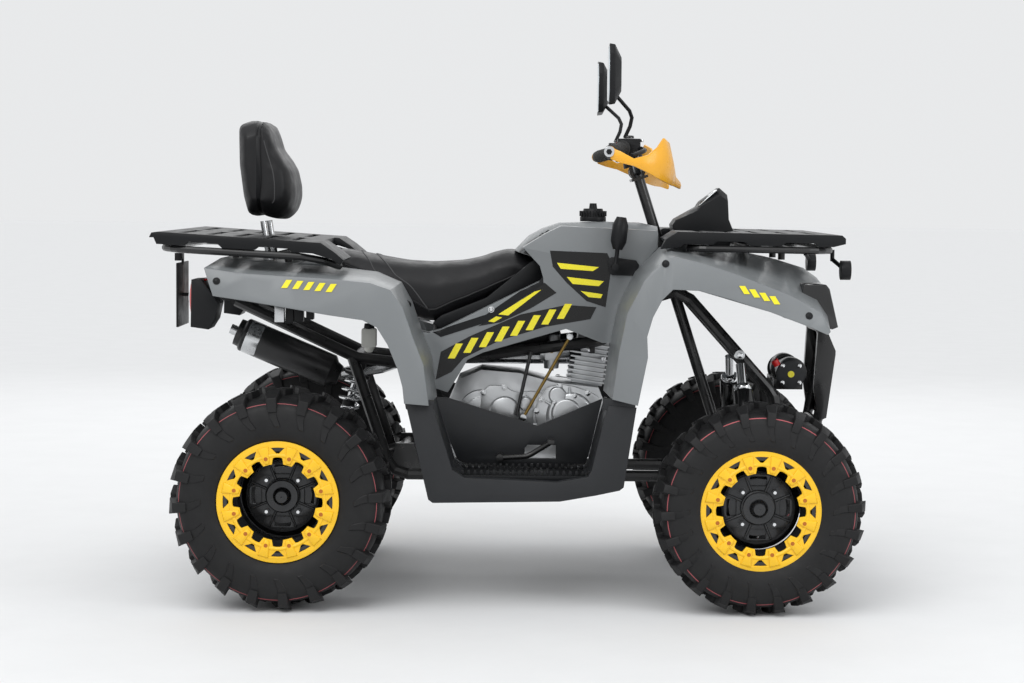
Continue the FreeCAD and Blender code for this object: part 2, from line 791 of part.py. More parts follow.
def coil(low, high, radius, wire, turns):
    """Square wire wound between two points, in flat steps."""
    up = (high - low).normalize()
    length = (high - low).Length
    ahead = up.cross(at(0, 1, 0)).normalize()
    side_way = ahead.cross(up).normalize()
    rings = []
    count = turns * spring_steps
    for index in range(count + 1):
        angle = 2 * pi * index / spring_steps
        out = ahead * cos(angle) + side_way * sin(angle)
        middle = low + up * (wire / 2 + (length - wire) * index / count)
        rings.append(ring_of([middle + out * (radius + a * wire / 2) + up * (b * wire / 2) for a,
                              b in ((1, 0), (0, 1), (-1, 0), (0, -1))]))
    return loft(rings)


def shock(low, high, body, stem, seat_radius, coil_radius, wire, turns):
    """Damper with eyes and spring seats, and its coil as a second solid."""
    up = (high - low).normalize()
    length = (high - low).Length
    eye = body * 0.95
    eyes = [rod(p - at(0, body * 0.9, 0), p + at(0, body * 0.9, 0), eye) for p in (low, high)]
    lower_seat = low + up * (length * 0.16)
    upper_seat = high - up * (length * 0.14)
    plates = [rod(lower_seat - up * wire, lower_seat, seat_radius), rod(upper_seat,
            upper_seat + up * wire, seat_radius)]
    damper = fused([rod(low, low + up * (length * 0.55), body), rod(low, high, stem)] + plates + eyes)
    spring = coil(lower_seat + up * clearance, upper_seat - up * clearance, coil_radius, wire, turns)
    return damper, spring


def rear_shock():
    low = low_places(shock_low_share)[0]
    cross = places(cross_shares)[1]
    high = at(cross.x, 0, cross.z - frame_tube_radius * 0.9 - shock_body_radius * 0.95 - clearance)
    return shock(low, high, shock_body_radius, shock_rod_radius, spring_radius + spring_wire,
                 spring_radius, spring_wire, spring_turns)


# Front suspension: an upper and a lower arm a side, and a shock absorber
arm_radius = 11.0
arm_spread = 44.0
ball_cup_radius = 17.0
ball_cup_height = 32.0
ball_stud_radius = 8.0
ball_stud_length = 18.0
front_shock_foot_share = 0.59
front_shock_lean = 0.0155 * wheelbase
front_shock_radius = 14.0
front_spring_radius = 24.0
front_spring_wire = 6.0


def arm_roots():
    """Height of the lower and the upper arm's pivots, just under the frame tubes that carry them."""
    drop = frame_tube_radius + arm_radius * 1.2 + clearance
    return [low_places(shares)[1].z - drop for shares in (lower_loop_shares, middle_loop_shares)]


def ball_cup(hand):
    """Face and far end of the ball joint above or below the upright."""
    face = (kingpin_top if hand > 0 else kingpin_foot) + at(0, 0, hand * clearance)
    return face, face + at(0, 0, hand * ball_cup_height)


def front_arms():
    """Both arms of the left side, each a vee with a ball joint at the upright."""
    arms = []
    root_y = low_places(middle_loop_shares)[1].y
    for root_z, hand in zip(arm_roots(), (-1, 1)):
        face, cup_end = ball_cup(hand)
        middle = (face + cup_end) * 0.5
        pivots = [at(front_axle_x + spread, root_y, root_z) for spread in (-arm_spread, arm_spread)]
        pieces = [rod(pivot, middle, arm_radius) for pivot in pivots]
        pieces.append(rod(face, cup_end, ball_cup_radius))
        pieces.append(rod(cup_end, face - at(0, 0, hand * ball_stud_length), ball_stud_radius))
        overhang = at(arm_radius, 0, 0)
        pieces.append(rod(pivots[0] - overhang, pivots[1] + overhang, arm_radius * 1.2))
        if hand > 0:
            brace = [pivot + (middle - pivot) * front_shock_foot_share for pivot in pivots]
            pieces.append(rod(brace[0], brace[1], arm_radius))
        arms.append(fused(pieces))
    return arms


def front_shock():
    face, cup_end = ball_cup(1)
    tube = low_places(middle_loop_shares)[1]
    pivot = at(front_axle_x, tube.y, arm_roots()[1])
    foot = pivot + ((face + cup_end) * 0.5 - pivot) * front_shock_foot_share
    low = foot + at(0, 0, arm_radius + front_shock_radius + clearance)
    rise, top = upper_loop()[1:3]
    high_x = front_axle_x - front_shock_lean
    share = (high_x - rise.x) / (top.x - rise.x)
    on_tube = rise + (top - rise) * share
    high = at(high_x, on_tube.y + frame_tube_radius + front_shock_radius * 0.9 + clearance, on_tube.z)
    return shock(low, high, front_shock_radius, shock_rod_radius * 0.8,
                 front_spring_radius + front_spring_wire, front_spring_radius, front_spring_wire,
                 spring_turns)


# Engine: crankcase with round covers, an air-cooled cylinder leaning forward, carburettor and exhaust
engine_half_width = 92.0
engine_outline_shares = [
    (-0.1202, 0.3511), (0.1717, 0.3511), (0.2146, 0.383), (0.2215, 0.5106), (0.2094, 0.5489),
    (0.1116, 0.5617), (0.0343, 0.5872), (-0.0515, 0.5957), (-0.103, 0.5691),
    (-0.1373, 0.4681)]
cover_centre_shares = [(0.0601, 0.4574), (-0.0515, 0.4787)]
cover_radius = 76.0
small_cover_radius = 58.0
cover_depth = 34.0
cylinder_tilt = 8.0
fin_count = 9
fin_thickness = 4.5
fin_pitch = 12.0
fin_half_length = 58.0
fin_half_width = 62.0
bore_half = 40.0
cylinder_share = [(0.1845, 0, 0.5532)]


def engine_case():
    body = slab(side(engine_outline_shares), -engine_half_width, engine_half_width)
    pieces = [body]
    for (x, z), radius in zip(side(cover_centre_shares), (cover_radius, small_cover_radius)):
        for hand in (1, -1):
            start = at(x, hand * (engine_half_width - overrun / 2), z)
            pieces.append(rod(start, at(x, hand * (engine_half_width + cover_depth * 0.7), z), radius))
            pieces.append(rod(start, at(x, hand * (engine_half_width + cover_depth), z), radius * 0.72))
    return fused(pieces)


def engine_cylinder():
    """Finned barrel and head on the case, tilted back about its foot."""
    foot = places(cylinder_share)[0]
    height = fin_count * fin_pitch
    pieces = [block(foot.x - bore_half, foot.x + bore_half, -bore_half, bore_half, foot.z,
                    foot.z + height)]
    for index in range(fin_count):
        low = foot.z + fin_pitch * (index + 0.6)
        grow = 0.92 if index < fin_count - 3 else 1.0
        pieces.append(block(foot.x - fin_half_length * grow, foot.x + fin_half_length * grow,
                            -fin_half_width * grow, fin_half_width * grow, low, low + fin_thickness))
    cap_low = foot.z + height - overrun * 0.1
    pieces.append(block(foot.x - fin_half_length * 0.72, foot.x + fin_half_length * 0.72,
                        -fin_half_width * 0.7, fin_half_width * 0.7, cap_low, cap_low + overrun * 0.75))
    whole = fused(pieces)
    whole.rotate(foot, at(0, 1, 0), cylinder_tilt)
    case = slab(side(engine_outline_shares), -engine_half_width, engine_half_width)
    grown = slab([(x, z + clearance) for x, z in side(engine_outline_shares)], -engine_half_width,
                 engine_half_width)
    return cut(whole, [case, grown])


# Hand guard: a curved shield from the bar end round the lever to the bar's bend, lower and upper edge
guard_low_shares = [
    (-0.0078, 0.096, -0.1539), (0.1682, 0.16, -0.2179), (0.4402, 0.176, -0.2819),
    (0.7202, 0.08, -0.4019), (0.9202, -0.064, -0.5059), (1.0562, -0.24, -0.5699),
    (1.1762, -0.48, -0.6179), (1.2642, -0.8, -0.6499), (1.3602, -1.216, -0.6659),
    (1.4802, -1.496, -0.7139)]
guard_high_shares = [
    (-0.0078, 0.096, 0.0701), (0.1682, 0.16, 0.0061), (0.4402, 0.176, -0.1379),
    (0.7202, 0.08, -0.0659), (0.9202, -0.064, 0.0861), (1.0562, -0.24, 0.2701),
    (1.1762, -0.48, 0.1821), (1.2642, -0.8, -0.1459), (1.3602, -1.216, -0.4659),
    (1.4802, -1.496, -0.5859)]


def beside_grip(shares):
    """Points about the left bar end from shares of the grip's length."""
    end = grip_line()[0]
    return [end + at(x, y, z) * grip_length for x, y, z in shares]


def hand_guard():
    """Shield bolted to the left bar end by a plug and a boss."""
    low_line = beside_grip(guard_low_shares)
    high_line = beside_grip(guard_high_shares)
    wires = []
    last = len(low_line) - 1
    for index, (low, high) in enumerate(zip(low_line, high_line)):
        before = low_line[max(index - 1, 0)]
        after = low_line[min(index + 1, last)]
        way = at(after.x - before.x, after.y - before.y, 0).normalize()
        out = at(0, 0, 1).cross(way)
        middle = (low + high) / 2 + out * (guard_bulge * (high.z - low.z) / (0.827 * grip_length))
        skin = out * guard_thickness
        wires.append(ring_of([low, middle, high, high - skin, middle - skin, low - skin]))
    end, along = grip_line()
    plug = rod(end + along * guard_plug_start, end + along * grip_radius, grip_radius * 0.8)
    return fused([loft(wires), plug])


# Body: thin moulded panels lofted along their edges
rim_y = 0.94 * half_width
lip_y = 0.976 * half_width
front_fender_top_shares = [
    (0.2249, 0.5553), (0.2318, 0.6096), (0.2378, 0.6745), (0.2541, 0.7766), (0.2901, 0.8638),
    (0.3313, 0.917), (0.3494, 0.9223), (0.4103, 0.9053), (0.4833, 0.8766), (0.594, 0.8245),
    (0.6558, 0.7819), (0.6747, 0.734)]
front_fender_lip_shares = [
    (0.2764, 0.5415), (0.2867, 0.6064), (0.2961, 0.6649), (0.2944, 0.7191), (0.3064, 0.7691),
    (0.3253, 0.8138), (0.3468, 0.8404), (0.4, 0.8383), (0.4635, 0.817), (0.5494, 0.784),
    (0.6266, 0.7489), (0.667, 0.7277)]
front_fender_root_shares = [
    (0.2146, 0.5553), (0.2197, 0.6096), (0.2266, 0.6745), (0.2438, 0.7809), (0.2798, 0.8745),
    (0.3313, 0.9404), (0.3494, 0.9468), (0.4103, 0.9404), (0.4833, 0.9234), (0.594, 0.8957),
    (0.6558, 0.8723), (0.6867, 0.8457)]
front_root_y_shares = [0.47, 0.47, 0.47, 0.47, 0.47, 0.47, 0.47, 0.46, 0.44, 0.42, 0.41, 0.40]
rear_fender_top_shares = [
    (-0.6215, 0.884), (-0.5494, 0.8713), (-0.4644, 0.8649), (-0.3605, 0.8585),
    (-0.2781, 0.8489), (-0.2369, 0.8319), (-0.2112, 0.7872), (-0.1888, 0.7074),
    (-0.1674, 0.6404), (-0.1562, 0.5351)]
rear_fender_lip_shares = [
    (-0.6009, 0.8138), (-0.5322, 0.8021), (-0.4644, 0.7883), (-0.3665, 0.7681),
    (-0.2927, 0.7553), (-0.2635, 0.7372), (-0.2412, 0.6936), (-0.2197, 0.6298),
    (-0.2094, 0.5851), (-0.2052, 0.5415)]
rear_fender_root_shares = [
    (-0.6215, 0.9), (-0.5494, 0.8915), (-0.4644, 0.8851), (-0.3605, 0.8787),
    (-0.2781, 0.867), (-0.2249, 0.8404), (-0.2009, 0.7894), (-0.1785, 0.7106),
    (-0.1571, 0.6447), (-0.1459, 0.5351)]
rear_root_y_shares = [0.35, 0.35, 0.35, 0.35, 0.36, 0.40, 0.43, 0.46, 0.47, 0.47]
front_hood_half_shares = [0.47, 0.46, 0.44, 0.42, 0.41, 0.40]


def bent_section(root, top, lip):
    """Closed section of a skin bent once, its thickness laid on the inside of the bend."""
    first = (top - root).normalize()
    second = (lip - top).normalize()
    normal = first.cross(second).normalize()
    off_first = normal.cross(first)
    off_second = normal.cross(second)
    corner = (off_first + off_second) * (1 / (1 + off_first.dot(off_second)))
    return ring_of([root, top, lip, lip + off_second * panel_thickness,
                    top + corner * panel_thickness, root + off_first * panel_thickness])


def fender_band(tops, lips, roots, root_ys):
    """Skin over one left wheel: root at the body, a rounded edge, and an outer lip."""
    rings = []
    for top, lip, root, root_share in zip(side(tops), side(lips), side(roots), root_ys):
        rings.append(bent_section(at(root[0], root_share * half_width, root[1]), at(top[0], rim_y,
                top[1]),
                                  at(lip[0], lip_y, lip[1])))
    return loft(rings)


def hood_rings(low, high):
    """Sections of the hood between two heights over its crowned surface."""
    rings = []
    for (x, z), share in zip(side(front_fender_root_shares)[6:], front_hood_half_shares):
        y = share * half_width
        rise = panel_thickness * 3
        line = [(-y, z), (-y * 0.6, z + rise), (y * 0.6, z + rise), (y, z)]
        rings.append(ring_of([at(x, a, b + high) for a, b in line] + [at(x, a, b + low) for a,
                b in reversed(line)]))
    return rings


def front_fender():
    """Both front bands and the hood that joins them, one moulding."""
    band = fender_band(front_fender_top_shares, front_fender_lip_shares,
                       front_fender_root_shares, front_root_y_shares)
    hood = loft(hood_rings(-panel_thickness, 0))
    pocket = headlamp(clearance)
    return cut(fused([band, mirrored(band), hood]),
               [shaft_bore(steering_shaft_radius + moving_gap), pocket, mirrored(pocket)])


def rear_fender():
    band = fender_band(rear_fender_top_shares, rear_fender_lip_shares,
                       rear_fender_root_shares, rear_root_y_shares)
    deck = []
    for (x, z), share in list(zip(side(rear_fender_root_shares), rear_root_y_shares))[:3]:
        y = share * half_width
        deck.append(ring_of([at(x, -y, z), at(x, y, z), at(x, y, z - panel_thickness),
                             at(x, -y, z - panel_thickness)]))
    return fused([band, mirrored(band), loft(deck)])


# Tank cover, side panels, nose and dash pod
tank_half_width = 112.0
tank_outline_shares = [
    (0.0206, 0.9234), (0.0515, 0.9628), (0.0824, 0.984), (0.1202, 1), (0.2146, 1.0043),
    (0.3021, 1.0021), (0.3365, 0.9936), (0.3365, 0.8511), (0.2833, 0.7766), (0.2146, 0.766),
    (0.1202, 0.8298), (0.0807, 0.8617), (0.0721, 0.9043)]
side_panel_shares = [
    (-0.188, 0.6915), (-0.1639, 0.5596), (-0.1227, 0.5436), (-0.0807, 0.6319),
    (-0.0472, 0.6521), (0.0592, 0.6915), (0.133, 0.7181), (0.212, 0.6809), (0.2335, 0.6809),
    (0.2506, 0.7809), (0.2867, 0.8745), (0.3296, 0.9404), (0.3296, 0.984), (0.1202, 0.9947),
    (0.0858, 0.9734), (0.0378, 0.9362), (0.0747, 0.8872), (0.0833, 0.8511),
    (-0.1399, 0.7128), (-0.1682, 0.7043), (-0.1991, 0.7149)]
side_panel_y = 206.0


def grown(outline, gap):
    """Outline moved out by a gap, corner by corner."""
    area = sum(a[0] * b[1] - b[0] * a[1] for a, b in zip(outline, outline[1:] + outline[:1]))
    way = 1 if area > 0 else -1
    result = []
    for before, point, after in zip(outline[-1:] + outline, outline, outline[1:] + outline[:1]):
        normals = []
        for start, end in ((before, point), (point, after)):
            dx, dz = end[0] - start[0], end[1] - start[1]
            size = hypot(dx, dz)
            normals.append((way * dz / size, -way * dx / size))
        (ax, az), (bx, bz) = normals
        scale = gap / (1 + ax * bx + az * bz)
        result.append((point[0] + (ax + bx) * scale, point[1] + (az + bz) * scale))
    return result


def tank_cover():
    """Crowned cover between the seat and the bars, cut round the steering shaft."""
    outline = side(tank_outline_shares)
    cz = min(z for x, z in outline)
    half = tank_half_width
    rings = []
    for y, scale in ((-half, 0.90), (-half * 0.6, 1.0), (half * 0.6, 1.0), (half, 0.90)):
        rings.append(ring_of([at(x, y, cz + (z - cz) * scale) for x, z in outline]))
    seat_space = slab(grown(side(seat_outline_shares), clearance), -seat_half_width, seat_half_width)
    return cut(loft(rings), [shaft_bore(steering_shaft_radius + moving_gap), seat_space])


def strip(line, drop, low, high):
    """Narrow wall under a side-view line, from y = low to y = high."""
    return slab(line + [(x, z - drop) for x, z in reversed(line)], low, high)


def side_panel():
    """Left panel with flanges that turn in to the tank cover and the seat."""
    outline = side(side_panel_shares)
    plate = slab(outline, side_panel_y, side_panel_y + panel_thickness)
    tank_flange = strip(outline[12:16], panel_thickness, tank_half_width + clearance,
                        side_panel_y + panel_thickness)
    seat_flange = strip(outline[17:21], panel_thickness, seat_half_width + clearance,
                        side_panel_y + panel_thickness)
    return fused([plate, tank_flange, seat_flange])


footwell_outer_shares = [
    (-0.2034, 0.5351), (-0.1562, 0.2894), (-0.1468, 0.2809), (0.1185, 0.2872),
    (0.1957, 0.3043), (0.2429, 0.317), (0.2515, 0.3255), (0.2764, 0.533)]
footwell_inner_shares = [
    (0.218, 0.5372), (0.2043, 0.4755), (0.1845, 0.3702), (0.1768, 0.3511), (0.1116, 0.3372),
    (-0.0807, 0.3468), (-0.1064, 0.367), (-0.1494, 0.5351)]
footwell_wall_shares = [
    (-0.1597, 0.5319), (-0.1262, 0.5319), (0.0627, 0.4606), (0.073, 0.4564),
    (0.2137, 0.5319), (0.1845, 0.3745), (0.1751, 0.3553), (0.1116, 0.3415), (-0.079, 0.3511),
    (-0.103, 0.3691)]
footwell_window_shares = [(0.0455, 0.367), (0.0455, 0.3957), (0.0515, 0.4043), (0.1133, 0.4043),
                          (0.1133, 0.367)]
footwell_rim = 6.0
footwell_inner_y = 214.0
footwell_outer_y = 0.91 * half_width
peg_teeth = 7
peg_height = 16.0


def footwell():
    """Black tray with an outer flange, an inner wall with a window, and a toothed foot rest."""
    outer = side(footwell_outer_shares)
    inner = side(footwell_inner_shares)
    flange = slab(outer + inner, footwell_outer_y - footwell_rim, footwell_outer_y)
    lower = [(x + footwell_rim * (1 if x > 0.1 * wheelbase else -1), z - footwell_rim) for x, z in inner]
    lower = [(x, max(z, inner[-1][1] if i in (0, len(inner) - 1) else z)) for i,
             (x, z) in enumerate(lower)]
    tread = slab(inner + list(reversed(lower)), footwell_inner_y, footwell_outer_y - footwell_rim / 2)
    wall = slab(side(footwell_wall_shares), footwell_inner_y, footwell_inner_y + footwell_rim)
    window = slab(side(footwell_window_shares), footwell_inner_y - overrun, footwell_inner_y + overrun)
    return fused([flange, tread, cut(wall, window)])


def foot_peg():
    """Saw-toothed rest that stands on the tray, left side."""
    (start_x, start_z), (end_x, end_z) = side(footwell_inner_shares)[4:6]
    length = (start_x - end_x) * 0.5
    first = end_x + (start_x - end_x) * 0.25
    pitch = length / peg_teeth

    def floor(x):
        return end_z + (start_z - end_z) * (x - end_x) / (start_x - end_x) + clearance
    points = [(first, floor(first))]
    for index in range(peg_teeth):
        low = first + pitch * index
        points += [(low, floor(low) + peg_height), (low + pitch * 0.5, floor(low) + peg_height * 0.5)]
    last = first + length
    points += [(last, floor(last) + peg_height), (last, floor(last))]
    centre_y = (footwell_inner_y + footwell_outer_y) / 2
    return slab(points, centre_y - 0.09 * half_width, centre_y + 0.09 * half_width)


nose_outline_shares = [
    (0.6309, 0.9043), (0.6798, 0.883), (0.6867, 0.8404), (0.7056, 0.7511), (0.6695, 0.7447),
    (0.6215, 0.7447), (0.6215, 0.8138)]
nose_half_width = 150.0
lamp_outline_shares = [
    (0.6232, 0.8149), (0.6275, 0.8511), (0.6747, 0.8511), (0.6824, 0.8394), (0.7013, 0.7404),
    (0.6884, 0.734)]
lamp_low_y = 150.5
lamp_high_y = 384.0


def nose():
    outline = side(nose_outline_shares)
    cx = outline[0][0]
    rings = []
    for y, scale in ((-nose_half_width, 0.55), (-nose_half_width * 0.5, 1.0), (nose_half_width * 0.5,
            1.0), (nose_half_width, 0.55)):
        rings.append(ring_of([at(cx + (x - cx) * scale, y, z) for x, z in outline]))
    return cut(loft(rings), loft(hood_rings(-panel_thickness - clearance, overrun * 2)))


def headlamp(gap):
    """Lamp let into the corner of the hood, left side, grown by a gap."""
    outline = grown(side(lamp_outline_shares), gap)
    return slab(outline, lamp_low_y - gap, lamp_high_y + gap)


pod_outline_shares = [
    (0.3708, 0.9979), (0.3777, 1.0138), (0.4266, 1.0479), (0.4335, 1.0617), (0.4755, 1.1011),
    (0.4936, 1.0819), (0.4961, 1.0181), (0.5073, 0.9766), (0.4979, 0.9213), (0.3777, 0.9362)]
pod_half_width = 62.0


def instrument_pod():
    outline = side(pod_outline_shares)
    rings = []
    cz = outline[0][1]
    for y, scale in ((-pod_half_width, 0.8), (-pod_half_width * 0.6, 1.0), (pod_half_width * 0.6, 1.0),
                     (pod_half_width, 0.8)):
        rings.append(ring_of([at(x, y, cz + (z - cz) * scale) for x, z in outline]))
    return cut(loft(rings), [shaft_bore(steering_shaft_radius + moving_gap), loft(hood_rings(-overrun * 2,
            clearance))])


fuel_cap_share = [(0.1957, 0, 1.0064)]
fuel_cap_radius = 31.0
fuel_cap_height = 34.0


def fuel_cap():
    foot = places(fuel_cap_share)[0] - at(0, 0, fuel_cap_height * 0.05)
    profile = [(0, clearance), (fuel_cap_radius * 1.1, clearance), (fuel_cap_radius * 1.1,
            fuel_cap_height * 0.35),
               (fuel_cap_radius, fuel_cap_height * 0.4), (fuel_cap_radius * 0.8, fuel_cap_height), (0,
                       fuel_cap_height)]
    return turned(profile, foot, (0, 0, 1))


# Seat in two steps, with a backrest on two posts
seat_outline_shares = [
    (-0.3931, 0.9245), (-0.3305, 0.9149), (-0.2567, 0.8979), (-0.2146, 0.8894),
    (-0.1571, 0.8862), (-0.0918, 0.8915), (-0.0515, 0.9021), (-0.0266, 0.9149),
    (0.0103, 0.9277), (0.0687, 0.9043), (0.0738, 0.8787), (0.0721, 0.8532),
    (-0.1511, 0.7234), (-0.1734, 0.7234), (-0.3159, 0.8404), (-0.388, 0.8957)]
seat_edge = 26.0
backrest_outline_shares = [
    (-0.5931, 1.2628), (-0.5863, 1.2745), (-0.5451, 1.2872), (-0.5296, 1.2809),
    (-0.509, 1.1968), (-0.4764, 1.1415), (-0.4652, 1.0606), (-0.4738, 1.0245), (-0.4953, 1),
    (-0.5322, 1.0011), (-0.5682, 1.0032), (-0.5914, 1.1543)]
backrest_half_width = 165.0
post_y = 70.0
post_radius = 8.0
post_top_drop = 1.8


def crowned(outline, half, edge, inset):
    """Outline carried across the width, drawn in at both sides like a cushion."""
    cx = sum(x for x, z in outline) / len(outline)
    cz = sum(z for x, z in outline) / len(outline)
    rings = []
    for y, scale in ((-half, inset), (edge - half, 1.0), (half - edge, 1.0), (half, inset)):
        rings.append(ring_of([at(cx + (x - cx) * scale, y, cz + (z - cz) * scale) for x, z in outline]))
    return loft(rings)


def seat():
    return crowned(side(seat_outline_shares), seat_half_width, seat_edge, 0.93)


def backrest_pad():
    return crowned(side(backrest_outline_shares), backrest_half_width, seat_edge, 0.86)


# Racks: bent tube frames with a slotted cover
rear_rack_half_width = 392.0
rear_rack_loop_shares = [
    (-0.721, 0, 0.9319), (-0.721, 0.68, 0.9319), (-0.6867, 0.784, 0.9293),
    (-0.4292, 0.784, 0.9128), (-0.3828, 0.74, 0.9021), (-0.3536, 0.6, 0.8851)]
front_rack_half_width = 352.0
front_rack_loop_shares = [
    (0.6918, 0, 0.9383), (0.6918, 0.6, 0.9383), (0.6609, 0.704, 0.9383),
    (0.4103, 0.704, 0.9415), (0.388, 0.66, 0.9426)]
rack_post_y = 0.19 * half_width
cover_notch = 0.3 * half_width
cover_slots = 5
rear_cover_outline_shares = [
    (-0.7399, 0.9723), (-0.7262, 0.9745), (-0.3863, 0.9489), (-0.3605, 0.9277),
    (-0.3382, 0.9053), (-0.3433, 0.9), (-0.3691, 0.9213), (-0.3914, 0.9319),
    (-0.7262, 0.9596), (-0.7451, 0.9596)]
front_cover_outline_shares = [
    (0.3382, 0.965), (0.3639, 0.9852), (0.3777, 0.9852), (0.7099, 0.9788), (0.7176, 0.9703),
    (0.7176, 0.9597), (0.7073, 0.965), (0.3777, 0.9703), (0.3639, 0.9671), (0.3468, 0.9597)]


def rack_tubes(loop_shares, cross_places):
    line = places(loop_shares)
    whole = [across(p) for p in reversed(line[1:])] + line[1:]
    pieces = [pipe(whole, rack_tube_radius, 5 * rack_tube_radius)]
    low, high = line[2], line[3]
    for share in cross_places:
        spot = low + (high - low) * share
        pieces.append(rod(spot, across(spot), rack_tube_radius * 0.85))
    return pieces


def rear_rack():
    """Tube loop with cross tubes and short posts that stand on the rear deck."""
    shares = (0.35, 0.8)
    pieces = rack_tubes(rear_rack_loop_shares, shares)
    low, high = places(rear_rack_loop_shares)[2:4]
    for share in shares:
        spot = low + (high - low) * share
        for hand in (1, -1):
            foot = at(spot.x, hand * rack_post_y, deck_height_at(spot.x) + rack_tube_radius * 0.15)
            pieces.append(rod(foot, at(spot.x, hand * rack_post_y, spot.z), rack_tube_radius))
    return fused(pieces)


def height_on(line, x):
    """Height of a side-view line at x."""
    for (x_one, z_one), (x_two, z_two) in zip(line, line[1:]):
        if min(x_one, x_two) <= x <= max(x_one, x_two):
            return z_one + (z_two - z_one) * (x - x_one) / (x_two - x_one)
    return line[-1][1]


def deck_height_at(x):
    return height_on(side(rear_fender_root_shares), x)


def front_rack():
    """Tube loop with cross tubes and posts that stand on the hood."""
    shares = (0.2, 0.55)
    pieces = rack_tubes(front_rack_loop_shares, shares)
    low, high = places(front_rack_loop_shares)[2:4]
    for share in shares:
        spot = low + (high - low) * share
        for hand in (1, -1):
            hood_z = height_on(side(front_fender_root_shares)[6:], spot.x) + panel_thickness * 3
            foot = at(spot.x, hand * rack_post_y, hood_z + rack_tube_radius * 0.4)
            pieces.append(rod(foot, at(spot.x, hand * rack_post_y, spot.z), rack_tube_radius))
    return fused(pieces)


rear_skirt_shares = [
    (-0.7399, 0.9723), (-0.7262, 0.9723), (-0.3863, 0.9457), (-0.3605, 0.9255),
    (-0.3382, 0.9043), (-0.3451, 0.8915), (-0.3639, 0.9064), (-0.4034, 0.9213),
    (-0.4464, 0.9238), (-0.4549, 0.934), (-0.515, 0.9383), (-0.5253, 0.9288),
    (-0.5923, 0.9331), (-0.6026, 0.9447), (-0.6609, 0.9489), (-0.6712, 0.9385),
    (-0.6867, 0.9395), (-0.7296, 0.9426)]
front_skirt_shares = [
    (0.3365, 0.9617), (0.3639, 0.984), (0.3777, 0.984), (0.7099, 0.9777), (0.7176, 0.9691),
    (0.7176, 0.9564), (0.6918, 0.9483), (0.6609, 0.9483), (0.6524, 0.9574), (0.5923, 0.9585),
    (0.582, 0.9493), (0.515, 0.95), (0.5047, 0.9596), (0.4464, 0.9606), (0.4361, 0.9511),
    (0.388, 0.9526), (0.3777, 0.9526), (0.3674, 0.9447), (0.3279, 0.9394)]
skirt_width = 26.0


def cover_plate(outline_shares, skirt_shares, half, slot_low, slot_high, count):
    """Formed rack cover with long slots across it and a notched skirt down each side."""
    outline = side(outline_shares)
    skirt = slab(side(skirt_shares), half - skirt_width, half)
    body = fused([slab(outline, -half, half), skirt, mirrored(skirt)])
    low = min(x for x, z in outline)
    length = max(x for x, z in outline) - low
    deep = [z for x, z in outline]
    tools = []
    for index in range(count):
        share = slot_low + (slot_high - slot_low) * index / (count - 1)
        x = low + length * share
        for hand in (-1, 1):
            y_low, y_high = sorted((hand * half * 0.12, hand * half * 0.86))
            tools.append(block(x - length * 0.022, x + length * 0.022, y_low, y_high, min(deep) - overrun,
                               max(deep) + overrun))
    return cut(body, tools)


# Front guard, winch, lamps, plate bracket, exhaust, controls and small fittings
guard_loop_shares = [(0.6009, 0, 0.3511), (0.697, 0, 0.4553), (0.7193, 0, 0.6383), (0.7004, 0, 0.7191)]
guard_half = 92.0
guard_face_shares = [
    (0.709, 0.7255), (0.733, 0.6574), (0.733, 0.6468), (0.715, 0.4723), (0.6987, 0.4638),
    (0.6867, 0.5532), (0.6936, 0.717)]
fairlead_half = 60.0
fairlead_height_shares = (0.5106, 0.5957)
guard_bend = 40.0
winch_share = [(0.6395, 0, 0.5957)]
winch_drum_radius = 30.0
winch_half_length = 84.0


def front_bumper():
    """Two hoops off the frame nose, tied by two cross bars and a plate."""
    line = [p + at(0, guard_half, 0) for p in places(guard_loop_shares)]
    frame_face = line[0] + at(frame_tube_radius + guard_tube_radius * 0.8 - hoop_foot_depth, 0, 0)
    hoop = pipe([frame_face] + line[1:], guard_tube_radius, guard_bend)
    pieces = [hoop, mirrored(hoop)]
    for point in (line[1], line[3]):
        pieces.append(rod(point, across(point), guard_tube_radius))
    front = side(guard_face_shares)
    cheek = slab(front, guard_half, guard_half + 1.5 * guard_tube_radius)
    shield = cut(slab(front[:4] + [(x - panel_thickness, z) for x, z in reversed(front[:4])], -guard_half,
                      guard_half),
                 block(0, wheelbase, -fairlead_half, fairlead_half,
                       *[z * body_height for z in fairlead_height_shares]))
    return fused(pieces + [cheek, mirrored(cheek), shield])


def winch():
    centre = places(winch_share)[0]
    drum = rod(centre - at(0, winch_half_length, 0), centre + at(0, winch_half_length, 0),
               winch_drum_radius)
    ends = []
    for hand in (1, -1):
        start = centre + at(0, hand * winch_half_length * 0.55, 0)
        ends.append(rod(start, centre + at(0, hand * winch_half_length * 1.1, 0),
                        winch_drum_radius * 1.25))
    cross = places(cross_shares)[0]
    bed = block(cross.x, centre.x + winch_drum_radius, -winch_half_length * 0.9, winch_half_length * 0.9,
                cross.z + frame_tube_radius * 0.9 + clearance, centre.z - winch_drum_radius * 0.6)
    return fused([drum, bed] + ends)


